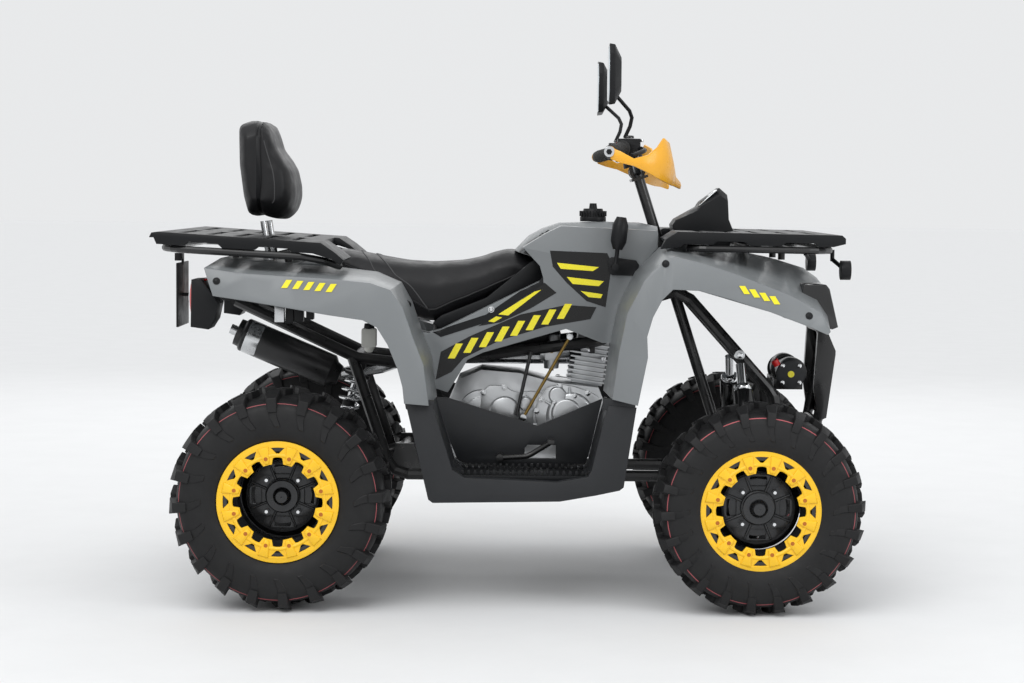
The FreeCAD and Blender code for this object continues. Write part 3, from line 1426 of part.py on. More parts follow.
tail_lamp_outline_shares = [
    (-0.6627, 0.8489), (-0.6421, 0.85), (-0.6146, 0.8011), (-0.606, 0.7872),
    (-0.6137, 0.7436), (-0.6266, 0.7181), (-0.6644, 0.7245)]
tail_lamp_y = 300.0
tail_lamp_half_width = 52.0
indicator_share = [(0.7245, 0.61, 0.8862)]
indicator_radius = 24.0
rear_indicator_share = [(-0.6541, 0.43, 0.8138)]
plate_outline_shares = [(-0.7305, 0.8819), (-0.7305, 0.7053), (-0.7262, 0.7053), (-0.7262, 0.8819)]
plate_half_width = 90.0
plate_arm_radius = 8.0
exhaust_shares = [
    (0.206, 0.05, 0.6298), (0.279, 0.05, 0.6298), (0.279, 0.168, 0.617),
    (0.1545, 0.168, 0.617), (-0.2146, 0.168, 0.6149), (-0.2833, 0.172, 0.5851),
    (-0.3742, 0.176, 0.5638)]
pipe_radius = 17.0
muffler_radius = 46.0


def tail_lamp():
    outline = side(tail_lamp_outline_shares)
    body = slab(outline, tail_lamp_y - tail_lamp_half_width, tail_lamp_y + tail_lamp_half_width)
    first, second = outline[2], outline[3]
    hanger_x = second[0]
    root = height_on(side(rear_fender_root_shares), hanger_x)
    edge = height_on(side(rear_fender_top_shares), hanger_x)
    root_y = rear_root_y_shares[0] * half_width
    share = (tail_lamp_y + plate_arm_radius - root_y) / (rim_y - root_y)
    under = root + (edge - root) * share - panel_thickness
    hanger = block(hanger_x - plate_arm_radius * 2, hanger_x, tail_lamp_y - plate_arm_radius,
                   tail_lamp_y + plate_arm_radius, first[1] - plate_arm_radius * 2, under)
    return fused([body, hanger])


def indicator(share, hand_x):
    """Round lamp on a short stalk, left side."""
    spot = places([share])[0]
    lens = rod(spot - at(hand_x * indicator_radius * 0.5, 0, 0),
               spot + at(hand_x * indicator_radius * 0.5, 0, 0), indicator_radius)
    return spot, lens


def front_indicator():
    """Lamp with the stalk that reaches back to the rack loop."""
    spot, lens = indicator(indicator_share[0], 1)
    root = places(front_rack_loop_shares)[0]
    arm_radius_here = indicator_radius * 0.22
    post = at(root.x + rack_tube_radius + arm_radius_here + clearance, spot.y * 0.8, root.z)
    arm = rod(at(spot.x, spot.y, spot.z), post - at(0, 0, indicator_radius), arm_radius_here)
    clip = rod(post - at(0, 0, indicator_radius * 1.2), post, arm_radius_here)
    return fused([lens, arm, clip])


def rear_indicator():
    spot, lens = indicator(rear_indicator_share[0], -1)
    arm = rod(spot, at(spot.x, tail_lamp_y - tail_lamp_half_width - clearance, spot.z),
              indicator_radius * 0.3)
    return fused([lens, arm])


def plate_outline():
    return side(plate_outline_shares)


def plate_bracket():
    """Blank plate on a flat arm, with a small lamp above it."""
    outline = plate_outline()
    plate = slab(outline, -plate_half_width, plate_half_width)
    tail = hitch_centre()
    top = outline[-1]
    low_z = tail.z + hitch_plate_thickness / 2 + clearance
    arm = block(top[0] - plate_arm_radius * 0.5, tail.x + hitch_plate_length * 0.2, -plate_arm_radius * 2,
                plate_arm_radius * 2, low_z, low_z + plate_arm_radius)
    lamp = block(top[0] - plate_arm_radius * 2.4, top[0] - plate_arm_radius * 0.2, -plate_arm_radius * 3,
                 plate_arm_radius * 3,
                 top[1] + plate_arm_radius * 0.5, top[1] + plate_arm_radius * 3)
    neck = block(top[0] - plate_arm_radius * 0.5, top[0] + plate_arm_radius * 0.1, -plate_arm_radius,
                 plate_arm_radius, top[1] - plate_arm_radius, top[1] + plate_arm_radius)
    return fused([plate, arm, lamp, neck])


def exhaust():
    """Header from the cylinder down under the case and back to the silencer."""
    line = places(exhaust_shares)
    header = pipe(line, pipe_radius, 2.2 * pipe_radius)
    foot = places(cylinder_share)[0]
    space = block(foot.x - fin_half_length * 2, foot.x + fin_half_length + clearance,
                  -fin_half_width - clearance,
                  fin_half_width + clearance, foot.z - overrun, foot.z + fin_count * fin_pitch * 2)
    space.rotate(foot, at(0, 1, 0), cylinder_tilt)
    return cut(header, [space, muffler()])


muffler_shares = [(-0.3966, 0.176, 0.5691), (-0.6009, 0.176, 0.6755)]


def muffler():
    low, high = places(muffler_shares)
    along = (high - low).normalize()
    barrel = rod(low, high, muffler_radius)
    caps = [rod(low - along * muffler_radius * 0.5, low, muffler_radius * 0.7),
            rod(high, high + along * muffler_radius * 0.35, muffler_radius * 0.8),
            rod(high, high + along * muffler_radius * 0.8, pipe_radius * 0.8)]
    return fused([barrel] + caps)


airbox_outline_shares = [
    (-0.1288, 0.6404), (0.0944, 0.6702), (0.1013, 0.7617), (0.0515, 0.8191),
    (-0.1202, 0.7255), (-0.1442, 0.7106)]
airbox_half_width = 92.0
gear_rod_share_low = [(0.2369, 0.492, 0.8872)]
gear_rod_share_high = [(0.2412, 0.492, 0.934)]
gear_knob_radius = 20.0
gear_knob_length = 82.0
gear_gate_shares = [
    (0.2249, 0.8702), (0.2215, 0.9043), (0.23, 0.9128), (0.2833, 0.9043), (0.2901, 0.8915),
    (0.2867, 0.8745), (0.2781, 0.8628), (0.2318, 0.8638)]
gear_gate_thickness = 5.0


def gear_lever():
    """Rod with a long knob that rises beside the tank, right side."""
    low = places(gear_rod_share_low)[0]
    high = places(gear_rod_share_high)[0]
    along = (high - low).normalize()
    stem = rod(low, high, rack_tube_radius * 0.6)
    knob = turned([(0, 0), (gear_knob_radius * 0.6, 0), (gear_knob_radius, gear_knob_length * 0.25),
                   (gear_knob_radius, gear_knob_length * 0.75), (gear_knob_radius * 0.6,
                           gear_knob_length), (0, gear_knob_length)],
                  high, (along.x, along.y, along.z))
    face = side_panel_y + panel_thickness + clearance
    gate = slab(side(gear_gate_shares), face, face + gear_gate_thickness)
    foot = rod(at(low.x, face, low.z), low + at(0, rack_tube_radius, 0), rack_tube_radius)
    return mirrored(fused([stem, knob, foot, gate]))


pedal_shares = [(-0.0086, 0.524, 0.3745), (0.0515, 0.524, 0.3787), (0.1013, 0.524, 0.417)]
pedal_radius = 7.0


def brake_pedal():
    """Pedal arm inside the right tray with a flat pad."""
    line = places(pedal_shares)
    arm = pipe(line, pedal_radius, 6 * pedal_radius)
    tip = line[2]
    pad = block(tip.x - pedal_radius * 1.2, tip.x + pedal_radius * 1.2, tip.y - pedal_radius,
                tip.y + pedal_radius * 6, tip.z, tip.z + pedal_radius * 1.4)
    pin = rod(at(line[0].x, footwell_inner_y + footwell_rim + clearance, line[0].z), line[0] + at(0,
            pedal_radius, 0), pedal_radius * 1.3)
    return mirrored(fused([arm, pad, pin]))


def backrest_posts():
    """Two bent posts from the rear deck up into the pad."""
    posts = []
    low_z = side(rear_fender_root_shares)[1][1] + clearance
    pad_x, pad_z = side(backrest_outline_shares)[9]
    for hand in (1, -1):
        foot = at(pad_x + post_radius, hand * post_y, low_z)
        top = at(pad_x - post_radius, hand * post_y, pad_z - post_top_drop)
        posts.append(fused([rod(foot, top, post_radius), rod(foot, foot + at(0, 0, post_radius),
                                                             post_radius * 2)]))
    return posts


def rear_rack_cover():
    """Slotted cover, open round the seat's tail and the backrest posts."""
    body = cover_plate(rear_cover_outline_shares, rear_skirt_shares, rear_rack_half_width * 1.02, 0.15,
                       0.72, cover_slots)
    seat_tail = side(seat_outline_shares)[0]
    notch = block(seat_tail[0] - cover_gap, 0, -seat_half_width - cover_gap, seat_half_width + cover_gap,
                  0, 2 * body_height)
    posts = []
    for post in backrest_posts():
        bounds = post.BoundBox
        slot_y = post_radius + clearance
        middle_y = (bounds.YMin + bounds.YMax) / 2
        posts.append(block(bounds.XMin, bounds.XMax, middle_y - slot_y, middle_y + slot_y, bounds.ZMin,
                           bounds.ZMax))
    return cut(body, [notch] + posts)


def front_rack_cover():
    """Slotted cover, open at the back round the dash pod and the steering."""
    body = cover_plate(front_cover_outline_shares, front_skirt_shares, front_rack_half_width * 1.02, 0.2,
                       0.85, cover_slots)
    pod_end = max(x for x, z in side(pod_outline_shares))
    notch = block(0, pod_end + cover_gap, -cover_notch, cover_notch, 0, 2 * body_height)
    return cut(body, notch)


cover_gap = 6.0


# Stays that carry the body panels on the frame, left side, from the tube to inside the panel
rear_stay_shares = [(-0.5494, 0.236, 0.7511), (-0.5494, 0.18, 0.8957)]
seat_stay_shares = [(-0.1511, 0.236, 0.6202), (-0.1511, 0.216, 0.734)]
front_stay_shares = [(0.3777, 0.192, 0.8404), (0.3906, 0.12, 0.9543)]
footwell_stay_shares = [(0.1167, 0.236, 0.3085), (0.1167, 0.438, 0.3319)]
airbox_stay_shares = [(0.0944, 0.236, 0.6617), (0.0944, 0.172, 0.6745)]
stay_radius = 7.0


def body_stays():
    """Short tubes from the frame, each ended where it meets its panel."""
    stays = []
    for shares, panel in ((rear_stay_shares, rear_fender()), (seat_stay_shares, seat()),
                          (front_stay_shares, front_fender()), (footwell_stay_shares, footwell()),
                          (airbox_stay_shares, airbox())):
        start, end = places(shares)
        if shares is footwell_stay_shares:
            start = at(start.x, start.y, lower_loop()[4].z)
        if shares is front_stay_shares:
            start = on_bend(upper_loop(), upper_loop()[2])
        ends = cut(rod(start, end, stay_radius), panel).Solids
        left = min(ends, key=lambda piece: piece.distToShape(Part.Vertex(start))[0])
        stays += [left, mirrored(left)]
    return stays


def airbox():
    return slab(side(airbox_outline_shares), -airbox_half_width, airbox_half_width)


def export_chassis():
    export("frame", fused([frame()] + body_stays()))
    export("swing_arm", swing_arm())
    export("rear_shock", *rear_shock())
    arms = front_arms()
    export("front_arms", *(arms + [mirrored(arm) for arm in arms]))
    damper, spring = front_shock()
    export("front_shocks", damper, spring, mirrored(damper), mirrored(spring))
    export("engine_case", engine_case())
    export("engine_cylinder", engine_cylinder())
    export("airbox", airbox())
    export("exhaust", exhaust())
    export("muffler", muffler())
    export("winch", winch())
    export("front_bumper", front_bumper())


def export_body():
    export("front_fender", front_fender())
    export("rear_fender", rear_fender())
    export("tank_cover", tank_cover())
    export("nose", nose())
    export("headlamps", headlamp(0), mirrored(headlamp(0)))
    export("instrument_pod", instrument_pod())
    export("fuel_cap", fuel_cap())
    export("seat", seat())
    export("backrest_pad", backrest_pad())
    export("backrest_posts", *backrest_posts())
    for name, shape in (("side_panels", side_panel()), ("footwells", footwell()),
                        ("foot_pegs", foot_peg()),
                        ("tail_lamps", tail_lamp())):
        export(name, shape, mirrored(shape))
    lamps = [front_indicator(), rear_indicator()]
    export("indicators", *(lamps + [mirrored(lamp) for lamp in lamps]))
    export("rear_rack", rear_rack())
    export("front_rack", front_rack())
    export("rear_rack_cover", rear_rack_cover())
    export("front_rack_cover", front_rack_cover())
    export("plate_bracket", plate_bracket())
    export("gear_lever", gear_lever())
    export("brake_pedal", brake_pedal())


export_wheels()
export_steering()
export_chassis()
export_body()
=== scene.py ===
import json
import math

import bmesh
import bpy
from mathutils import Matrix, Vector
from mathutils.bvhtree import BVHTree

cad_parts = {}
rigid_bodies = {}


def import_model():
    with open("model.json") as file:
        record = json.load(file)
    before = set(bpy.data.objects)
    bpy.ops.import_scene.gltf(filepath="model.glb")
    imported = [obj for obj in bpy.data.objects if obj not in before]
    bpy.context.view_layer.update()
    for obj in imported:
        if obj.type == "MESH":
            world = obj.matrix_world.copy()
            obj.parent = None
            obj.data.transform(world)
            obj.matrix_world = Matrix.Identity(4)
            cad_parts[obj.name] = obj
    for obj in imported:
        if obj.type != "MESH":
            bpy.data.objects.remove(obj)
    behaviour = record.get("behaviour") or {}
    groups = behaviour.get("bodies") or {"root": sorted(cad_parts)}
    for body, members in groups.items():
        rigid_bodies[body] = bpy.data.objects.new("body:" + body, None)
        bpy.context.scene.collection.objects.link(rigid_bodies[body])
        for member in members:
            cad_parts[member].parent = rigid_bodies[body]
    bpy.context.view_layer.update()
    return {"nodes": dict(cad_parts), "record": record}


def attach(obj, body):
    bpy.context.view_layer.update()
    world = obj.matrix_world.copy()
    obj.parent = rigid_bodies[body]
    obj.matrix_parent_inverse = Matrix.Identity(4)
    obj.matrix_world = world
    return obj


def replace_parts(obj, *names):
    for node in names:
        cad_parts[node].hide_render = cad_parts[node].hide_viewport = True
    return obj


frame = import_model()
NODES = frame["nodes"]
SIDES = ((-1, "right"), (1, "left"))
scene = bpy.context.scene


# Materials
def noise_into(tree, scale, detail):
    """Noise on object coordinates."""
    where = tree.nodes.new("ShaderNodeTexCoord")
    noise = tree.nodes.new("ShaderNodeTexNoise")
    for name, value in (("Scale", scale), ("Detail", detail), ("Roughness", 0.55)):
        noise.inputs[name].default_value = value
    tree.links.new(where.outputs["Object"], noise.inputs["Vector"])
    return noise.outputs["Fac"]


def ramp_into(tree, source, target, stops):
    """Colour ramp of two stops, (place, colour), between a value and a shader's socket."""
    ramp = tree.nodes.new("ShaderNodeValToRGB")
    for element, (place, color) in zip(ramp.color_ramp.elements, stops):
        element.position = place
        element.color = (*color, 1)
    tree.links.new(source, ramp.inputs["Fac"])
    tree.links.new(ramp.outputs["Color"], target)


LOOKS = {}


def finish_of(name, color, rough, metal=0.0, grain=0.0, grain_scale=600.0, drift=0.08, coat=0.0,
              spread=0.08, sheen_level=0.5):
    """Base colour with a slow drift, roughness with a finer one, and a fine grain."""
    material = LOOKS[name] = bpy.data.materials.new(name)
    material.use_nodes = True
    tree = material.node_tree
    shader = tree.nodes["Principled BSDF"]
    dark = tuple(c * (1 - drift) for c in color)
    light_tone = tuple(min(1, c * (1 + drift)) for c in color)
    ramp_into(tree, noise_into(tree, 5.0, 4.0), shader.inputs["Base Color"],
              ((0.35, dark), (0.65, light_tone)))
    low, high = max(0.02, rough - spread), min(1, rough + spread)
    ramp_into(tree, noise_into(tree, 38.0, 5.0), shader.inputs["Roughness"],
              ((0.3, (low,) * 3), (0.7, (high,) * 3)))
    for socket, value in (("Metallic", metal), ("Specular IOR Level", sheen_level), ("Coat Weight", coat),
                          ("Coat Roughness", 0.08)):
        shader.inputs[socket].default_value = value
    if grain:
        bump = tree.nodes.new("ShaderNodeBump")
        bump.inputs["Strength"].default_value = grain
        bump.inputs["Distance"].default_value = 0.0006
        tree.links.new(noise_into(tree, grain_scale, 2.0), bump.inputs["Height"])
        tree.links.new(bump.outputs["Normal"], shader.inputs["Normal"])
    return material


GREY = finish_of("body_grey", (0.165, 0.176, 0.182), 0.38, coat=0.06, drift=0.02, spread=0.04)
BLACK = finish_of("black_plastic", (0.0075, 0.008, 0.009), 0.44, grain=0.25, drift=0.12, sheen_level=0.22)
GLOSS_BLACK = finish_of("gloss_black", (0.006, 0.006, 0.0065), 0.16, coat=0.3)
YELLOW = finish_of("ring_yellow", (0.86, 0.50, 0.008), 0.34, coat=0.12, drift=0.03)
GUARD = finish_of("guard_yellow", (0.80, 0.38, 0.015), 0.32, coat=0.15, drift=0.04)
TYRE = finish_of("tyre", (0.0095, 0.0095, 0.010), 0.58, grain=0.3, grain_scale=240, drift=0.2,
                 sheen_level=0.28)
STRIPE = finish_of("tyre_line", (0.33, 0.07, 0.08), 0.6, drift=0.3)
RIM = finish_of("rim_steel", (0.055, 0.056, 0.058), 0.32, metal=0.7)
HUB = finish_of("hub_black", (0.045, 0.046, 0.048), 0.30, metal=0.6, drift=0.05)
FRAME = finish_of("frame_black", (0.009, 0.009, 0.0095), 0.32, drift=0.15, coat=0.15)
STEEL = finish_of("bare_metal", (0.56, 0.57, 0.58), 0.24, metal=1.0, drift=0.06)
CAST = finish_of("engine_alloy", (0.50, 0.51, 0.52), 0.36, metal=0.9, grain=0.35, grain_scale=420, drift=0.12)
GOLD = finish_of("dark_gold", (0.26, 0.17, 0.05), 0.35, metal=0.9)
VINYL = finish_of("seat_vinyl", (0.008, 0.008, 0.009), 0.46, grain=0.35, grain_scale=330, drift=0.1,
                  sheen_level=0.3)
THREAD = finish_of("thread", (0.05, 0.05, 0.052), 0.7)
RUBBER = finish_of("rubber", (0.018, 0.018, 0.018), 0.7, grain=0.2)
RED = finish_of("lamp_red", (0.45, 0.008, 0.008), 0.12, coat=0.5, drift=0.05)
AMBER = finish_of("lamp_amber", (0.90, 0.25, 0.012), 0.14, coat=0.5, drift=0.05)
CLEAR = finish_of("lamp_clear", (0.55, 0.57, 0.58), 0.06, metal=0.4, coat=0.8, drift=0.05)
CHROME = finish_of("chrome", (0.72, 0.73, 0.74), 0.08, metal=1.0, spread=0.03, drift=0.03)
finish_of("plate_white", (0.62, 0.62, 0.60), 0.4, drift=0.02)
SCREEN = finish_of("dash_screen", (0.05, 0.06, 0.055), 0.1, coat=0.6)
# Darker orange for discs on the ring's pads: painted shade of the bolt recesses.
RECESS_SHADE = finish_of("ring_recess", (0.42, 0.12, 0.006), 0.5)
GLASS = finish_of("mirror_glass", (0.62, 0.68, 0.72), 0.04, metal=1.0, spread=0.02, drift=0.02)
DECAL_BLACK = finish_of("decal_black", (0.006, 0.006, 0.006), 0.3, coat=0.1, sheen_level=0.3)
DECAL_YELLOW = finish_of("decal_yellow", (0.80, 0.70, 0.010), 0.28, coat=0.3, drift=0.03)
SHADOW_GREY = finish_of("leg_plastic", (0.016, 0.017, 0.019), 0.44, grain=0.3, drift=0.1, sheen_level=0.32)
CAN = finish_of("silencer_can", (0.020, 0.020, 0.021), 0.34, metal=0.3, drift=0.15)
HOSE = finish_of("hose_rubber", (0.012, 0.012, 0.012), 0.5)
RED_CAP = finish_of("red_wire", (0.50, 0.010, 0.010), 0.4)
BOTTLE = finish_of("bottle_white", (0.60, 0.60, 0.56), 0.45, drift=0.04)
RED_PAINT = finish_of("red_switch", (0.42, 0.012, 0.014), 0.35)

LOOKS["mirror_shell"] = BLACK


def body_for(node_name):
    """The CAD body that carries a node."""
    for body, names in frame["record"]["behaviour"]["bodies"].items():
        if node_name in names:
            return body
    raise KeyError(node_name)


def dress_nodes():
    """Each CAD node takes the look of its slot."""
    slots = {item["node"]: item["material_slot"] for item in frame["record"]["subparts"]}
    for name, node in NODES.items():
        look = LOOKS[slots[name]]
        for item in node.material_slots:
            item.material = look
        if not node.material_slots:
            node.data.materials.append(look)


dress_nodes()


# Mesh helpers
def at(x, y, z):
    return Vector((x, y, z))


def handed(point, hand):
    """A left-side place on the side asked for."""
    return at(point[0], point[1] * hand, point[2])


def turns(count, phase=0.0):
    """Equal angles round a circle."""
    return [math.tau * (index + phase) / count for index in range(count)]


def polar(radius, turn):
    """A point on a circle."""
    return radius * math.cos(turn), radius * math.sin(turn)


def is_sharp(edge, smooth):
    """Whether the faces beside an edge meet at more than an angle in degrees."""
    return len(edge.link_faces) == 2 and edge.calc_face_angle(0) > math.radians(smooth)


def round_edges(shell, smooth, bevel, steps):
    sharp = [edge for edge in shell.edges if is_sharp(edge, smooth)]
    bmesh.ops.bevel(shell, geom=sharp, offset=bevel, segments=steps, profile=0.5, affect="EDGES",
                    clamp_overlap=True)


def shown_mesh(name, shell, looks, body):
    """An object made of a bmesh, which is freed, riding on a body."""
    mesh = bpy.data.meshes.new(name)
    for face in shell.faces:
        face.smooth = True
    shell.to_mesh(mesh)
    shell.free()
    for look in looks:
        mesh.materials.append(look)
    shown = bpy.data.objects.new(name, mesh)
    scene.collection.objects.link(shown)
    if body:
        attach(shown, body)
    return shown


def finished(name, shell, look, body, smooth=35.0, bevel=0.0, steps=2):
    """A bmesh as a shown object, smooth below an angle, with its sharper edges rounded."""
    bmesh.ops.recalc_face_normals(shell, faces=shell.faces)
    if bevel:
        round_edges(shell, smooth, bevel, steps)
    for edge in shell.edges:
        edge.smooth = not is_sharp(edge, smooth)
    return shown_mesh(name, shell, [look], body)


def piece(name, points, faces, look, body, **options):
    """Points and faces as a shown object."""
    mesh = bpy.data.meshes.new("draft")
    mesh.from_pydata([tuple(p) for p in points], [], faces)
    mesh.validate()
    shell = bmesh.new()
    shell.from_mesh(mesh)
    bpy.data.meshes.remove(mesh)
    return finished(name, shell, look, body, **options)


def skin_of(rings, closed=False):
    """Points and faces through equal rings, capped at both ends or closed on itself."""
    count, rows = len(rings[0]), len(rings)
    faces = []
    for row in range(rows if closed else rows - 1):
        here, there = row * count, (row + 1) % rows * count
        for i in range(count):
            after = (i + 1) % count
            faces.append((here + i, here + after, there + after, there + i))
    if not closed:
        faces += [tuple(reversed(range(count))), tuple(range((rows - 1) * count, rows * count))]
    return [p for ring in rings for p in ring], faces


def frame_of(axis):
    """Two directions square to an axis."""
    axis = Vector(axis).normalized()
    first = axis.cross(at(0, 0, 1) if abs(axis.z) < 0.9 else at(1, 0, 0)).normalized()
    return first, axis.cross(first)


def hoop(middle, one, two, radius, sides):
    """Ring of points in the plane of two directions."""
    return [middle + (one * math.cos(t) + two * math.sin(t)) * radius for t in turns(sides)]


class Kit:
    """Points and faces gathered from many simple solids into one piece."""

    def __init__(self):
        self.points, self.faces = [], []

    def add(self, points, faces):
        base = len(self.points)
        self.points += [Vector(p) for p in points]
        self.faces += [tuple(base + i for i in face) for face in faces]
        return self

    def drum(self, start, end, radius, end_radius=None, sides=32):
        """Closed cylinder or cone."""
        start, end = Vector(start), Vector(end)
        ways = frame_of(end - start)
        return self.add(*skin_of([hoop(start, *ways, radius, sides),
                                  hoop(end, *ways, radius if end_radius is None else end_radius, sides)]))

    def lathe(self, profile, centre, axis=(0, 1, 0), sides=64, flip=1):
        """Closed profile of (radius, distance along the axis) turned round it; flip mirrors it."""
        centre, axis = Vector(centre), Vector(axis).normalized()
        one, two = frame_of(axis)
        rings = []
        for turn in turns(sides):
            out = one * math.cos(turn) + two * math.sin(turn)
            rings.append([centre + axis * along * flip + out * radius for radius, along in profile])
        return self.add(*skin_of(rings, closed=True))

    def brick(self, low, high):
        return self.prism([(low[0], low[2]), (high[0], low[2]), (high[0], high[2]), (low[0], high[2])],
                          low[1], high[1])

    def prism(self, outline, y_low, y_high):
        """Side-view outline of (x, z) carried across from one y to another."""
        return self.add(*skin_of([[at(x, y, z) for x, z in outline] for y in (y_low, y_high)]))

    def show(self, name, look, body="chassis", **options):
        return piece(name, self.points, self.faces, look, body, **options)


def rounded(points, bend, steps):
    """Path with its corners turned into arcs."""
    points = [Vector(p) for p in points]
    path = [points[0]]
    for before, corner, after in zip(points, points[1:], points[2:]):
        back, ahead = before - corner, after - corner
        reach = min(bend, back.length * 0.45, ahead.length * 0.45)
        start, end = corner + back.normalized() * reach, corner + ahead.normalized() * reach
        for step in range(steps + 1):
            t = step / steps
            path.append(start * (1 - t) ** 2 + corner * 2 * t * (1 - t) + end * t ** 2)
    return path + [points[-1]]


def sweep(path, radius, sides):
    """Round tube along a path."""
    last = len(path) - 1
    ways = [(path[min(i + 1, last)] - path[max(i - 1, 0)]).normalized() for i in range(last + 1)]
    side_way, _ = frame_of(ways[0])
    rings = []
    for spot, way in zip(path, ways):
        side_way = (side_way - way * side_way.dot(way)).normalized()
        rings.append(hoop(spot, side_way, way.cross(side_way), radius, sides))
    return skin_of(rings)


# Wheels: lugged tyres, dished rims, yellow rings and black hubs
REAR_X, REAR_Y, REAR_R, REAR_HALF = -0.543, 0.390, 0.269, 0.127
FRONT_X, FRONT_Y, FRONT_R, FRONT_HALF = 0.622, 0.430, 0.257, 0.089
BEAD = 0.1275
# Tread blocks as (share of half width, share of pitch)
LUGS = ([(0.42, -0.05), (0.97, 0.02), (0.985, 0.34), (0.74, 0.40), (0.42, 0.30)],
        [(0.02, -0.34), (0.36, -0.14), (0.36, 0.20), (0.02, 0.02)])
# Sidewall bar as (depth below the tread, share of pitch)
BAR = ((0.040, 0.02), (0.040, 0.36), (0.062, 0.30), (0.086, 0.10), (0.086, -0.16), (0.060, 0.0))
RING_R, RING_BORE, RING_PADS = 0.148, 0.0925, 12
RING_PITCH = math.tau / RING_PADS
# Slot in the ring as (share of its radius, share of pitch)
SLOT = ((0.80, -0.05), (0.80, 0), (0.80, 0.05), (0.895, 0.235), (0.895, 0.12), (0.895, 0), (0.895, -0.12),
        (0.895, -0.235))
# Raised pad on the ring as (radius, share of pitch)
PAD = ((0.138, -0.20), (0.138, 0.20), (0.112, 0.150), (0.098, 0.128), (0.0945, 0.10), (0.0945, -0.10),
       (0.098, -0.128), (0.112, -0.150))


def tyre_section(radius, half):
    """Carcass outline of (radius, across), outer side first."""
    return [(BEAD, half * 0.66), (BEAD + 0.012, half * 0.76), (BEAD + 0.03, half * 0.90),
            (BEAD + 0.055, half * 0.965), (radius - 0.065, half * 0.945), (radius - 0.045, half * 0.93),
            (radius - 0.032, half * 0.87), (radius - 0.022, half * 0.70), (radius - 0.017, half * 0.4),
            (radius - 0.015, 0)]


def between(line, x):
    """Second value of a line of pairs at its first value x."""
    for (x_one, z_one), (x_two, z_two) in zip(line, line[1:]):
        if x_one <= x <= x_two:
            return z_one + (z_two - z_one) * (x - x_one) / (x_two - x_one)
    return line[0][1] if x < line[0][0] else line[-1][1]


def block(kit, centre, foot, face, shrink):
    """Raised block from a foot to a smaller face, both of (radius, turn, across)."""
    foot, face = ([centre + at(r * math.cos(t), y, r * math.sin(t)) for r, t, y in ring]
                  for ring in (foot, face))
    middle, count = sum(face, Vector()) / len(face), len(face)
    faces = [tuple(range(count)), tuple(reversed(range(count, 2 * count)))]
    faces += [(i, (i + 1) % count, count + (i + 1) % count, count + i) for i in range(count)]
    kit.add(foot + [middle + (p - middle) * shrink for p in face], faces)


def lug(kit, centre, radius, half, turn, pitch, hand, layout):
    """One tread block: a foot on the carcass and a smaller face at full radius."""
    foot, face = [], []
    for across, lead in layout:
        y, angle = hand * across * half, turn + lead * pitch
        foot.append((radius - (0.026 if across < 0.8 else 0.05), angle, y))
        drop = 0.018 * max(0.0, across - 0.72) / 0.28
        face.append((radius - drop, angle, y * (0.985 if across > 0.9 else 1)))
    block(kit, centre, foot, face, 0.93)


def side_bar(kit, centre, section, radius, turn, pitch, hand):
    """Low bent bar on the sidewall under a shoulder lug."""
    spots = [(radius - drop, turn + lead * pitch, between(section, radius - drop)) for drop, lead in BAR]
    block(kit, centre, *([(r, t, hand * (y + lift)) for r, t, y in spots] for lift in (-0.001, 0.0024)), 0.95)


def tyre(name, centre, radius, half, count, body):
    """Carcass with count lugs on each side, and the line and ribs of its sidewalls."""
    section = tyre_section(radius, half)
    ring = section + [(r, -a) for r, a in reversed(section[:-1])]
    ring += [(BEAD + 0.008, -half * 0.6), (BEAD + 0.008, half * 0.6)]
    carcass = Kit().lathe(ring, centre, sides=96).show(name + "_carcass", TYRE, body, smooth=50)
    treads, line = Kit(), Kit()
    pitch = math.tau / count
    for index in range(count):
        for hand in (-1, 1):
            turn = pitch * (index + (0.5 if hand > 0 else 0))
            for layout in LUGS:
                lug(treads, centre, radius, half, turn, pitch, hand, layout)
            side_bar(treads, centre, section, radius, turn, pitch, hand)
    treads.show(name + "_lugs", TYRE, body, smooth=30, bevel=0.0022, steps=1)
    r, y = radius - 0.0305, half * 0.845
    edge = [(r - 0.0014, y + 0.0018), (r + 0.0010, y - 0.0002), (r, y - 0.003), (r - 0.002, y - 0.001)]
    for hand in (-1, 1):
        line.lathe(edge, centre, sides=96, flip=hand)
        for step, share in enumerate((0.30, 0.62)):
            low, side = BEAD + 0.012 + 0.022 * share, half * (0.77 + 0.13 * share)
            rib = Kit().lathe([(low, side - 0.001), (low + 0.002, side + 0.0016), (low + 0.004, side + 0.001),
                               (low + 0.002, side - 0.003)], centre, sides=96, flip=hand)
            rib.show("%s_rib_%d_%d" % (name, hand + 1, step), TYRE, body, smooth=60)
    line.show(name + "_line", STRIPE, body, smooth=60)
    return carcass


def plate(name, outlines, bevel, centre, hand, look, body):
    """Flat 6 mm plate square to Y, its edge first and then its holes, as (x, z) about the centre."""
    curve = bpy.data.curves.new(name, "CURVE")
    curve.dimensions = "2D"
    curve.fill_mode = "BOTH"
    curve.extrude = 0.003 - bevel
    curve.bevel_depth = bevel
    curve.bevel_resolution = 1
    curve.offset = -bevel
    for line in outlines:
        spline = curve.splines.new("POLY")
        spline.points.add(len(line) - 1)
        for point, (x, z) in zip(spline.points, line):
            point.co = (x, z, 0, 1)
        spline.use_cyclic_u = True
    holder = bpy.data.objects.new(name, curve)
    scene.collection.objects.link(holder)
    bpy.context.view_layer.update()
    mesh = bpy.data.meshes.new_from_object(holder.evaluated_get(bpy.context.evaluated_depsgraph_get()))
    shell = bmesh.new()
    shell.from_mesh(mesh)
    for item, store in ((holder, bpy.data.objects), (curve, bpy.data.curves), (mesh, bpy.data.meshes)):
        store.remove(item)
    for vert in shell.verts:
        vert.co = centre + at(vert.co.x, -hand * vert.co.z, vert.co.y)
    bmesh.ops.remove_doubles(shell, verts=shell.verts, dist=0.00002)
    return finished(name, shell, look, body, smooth=40)


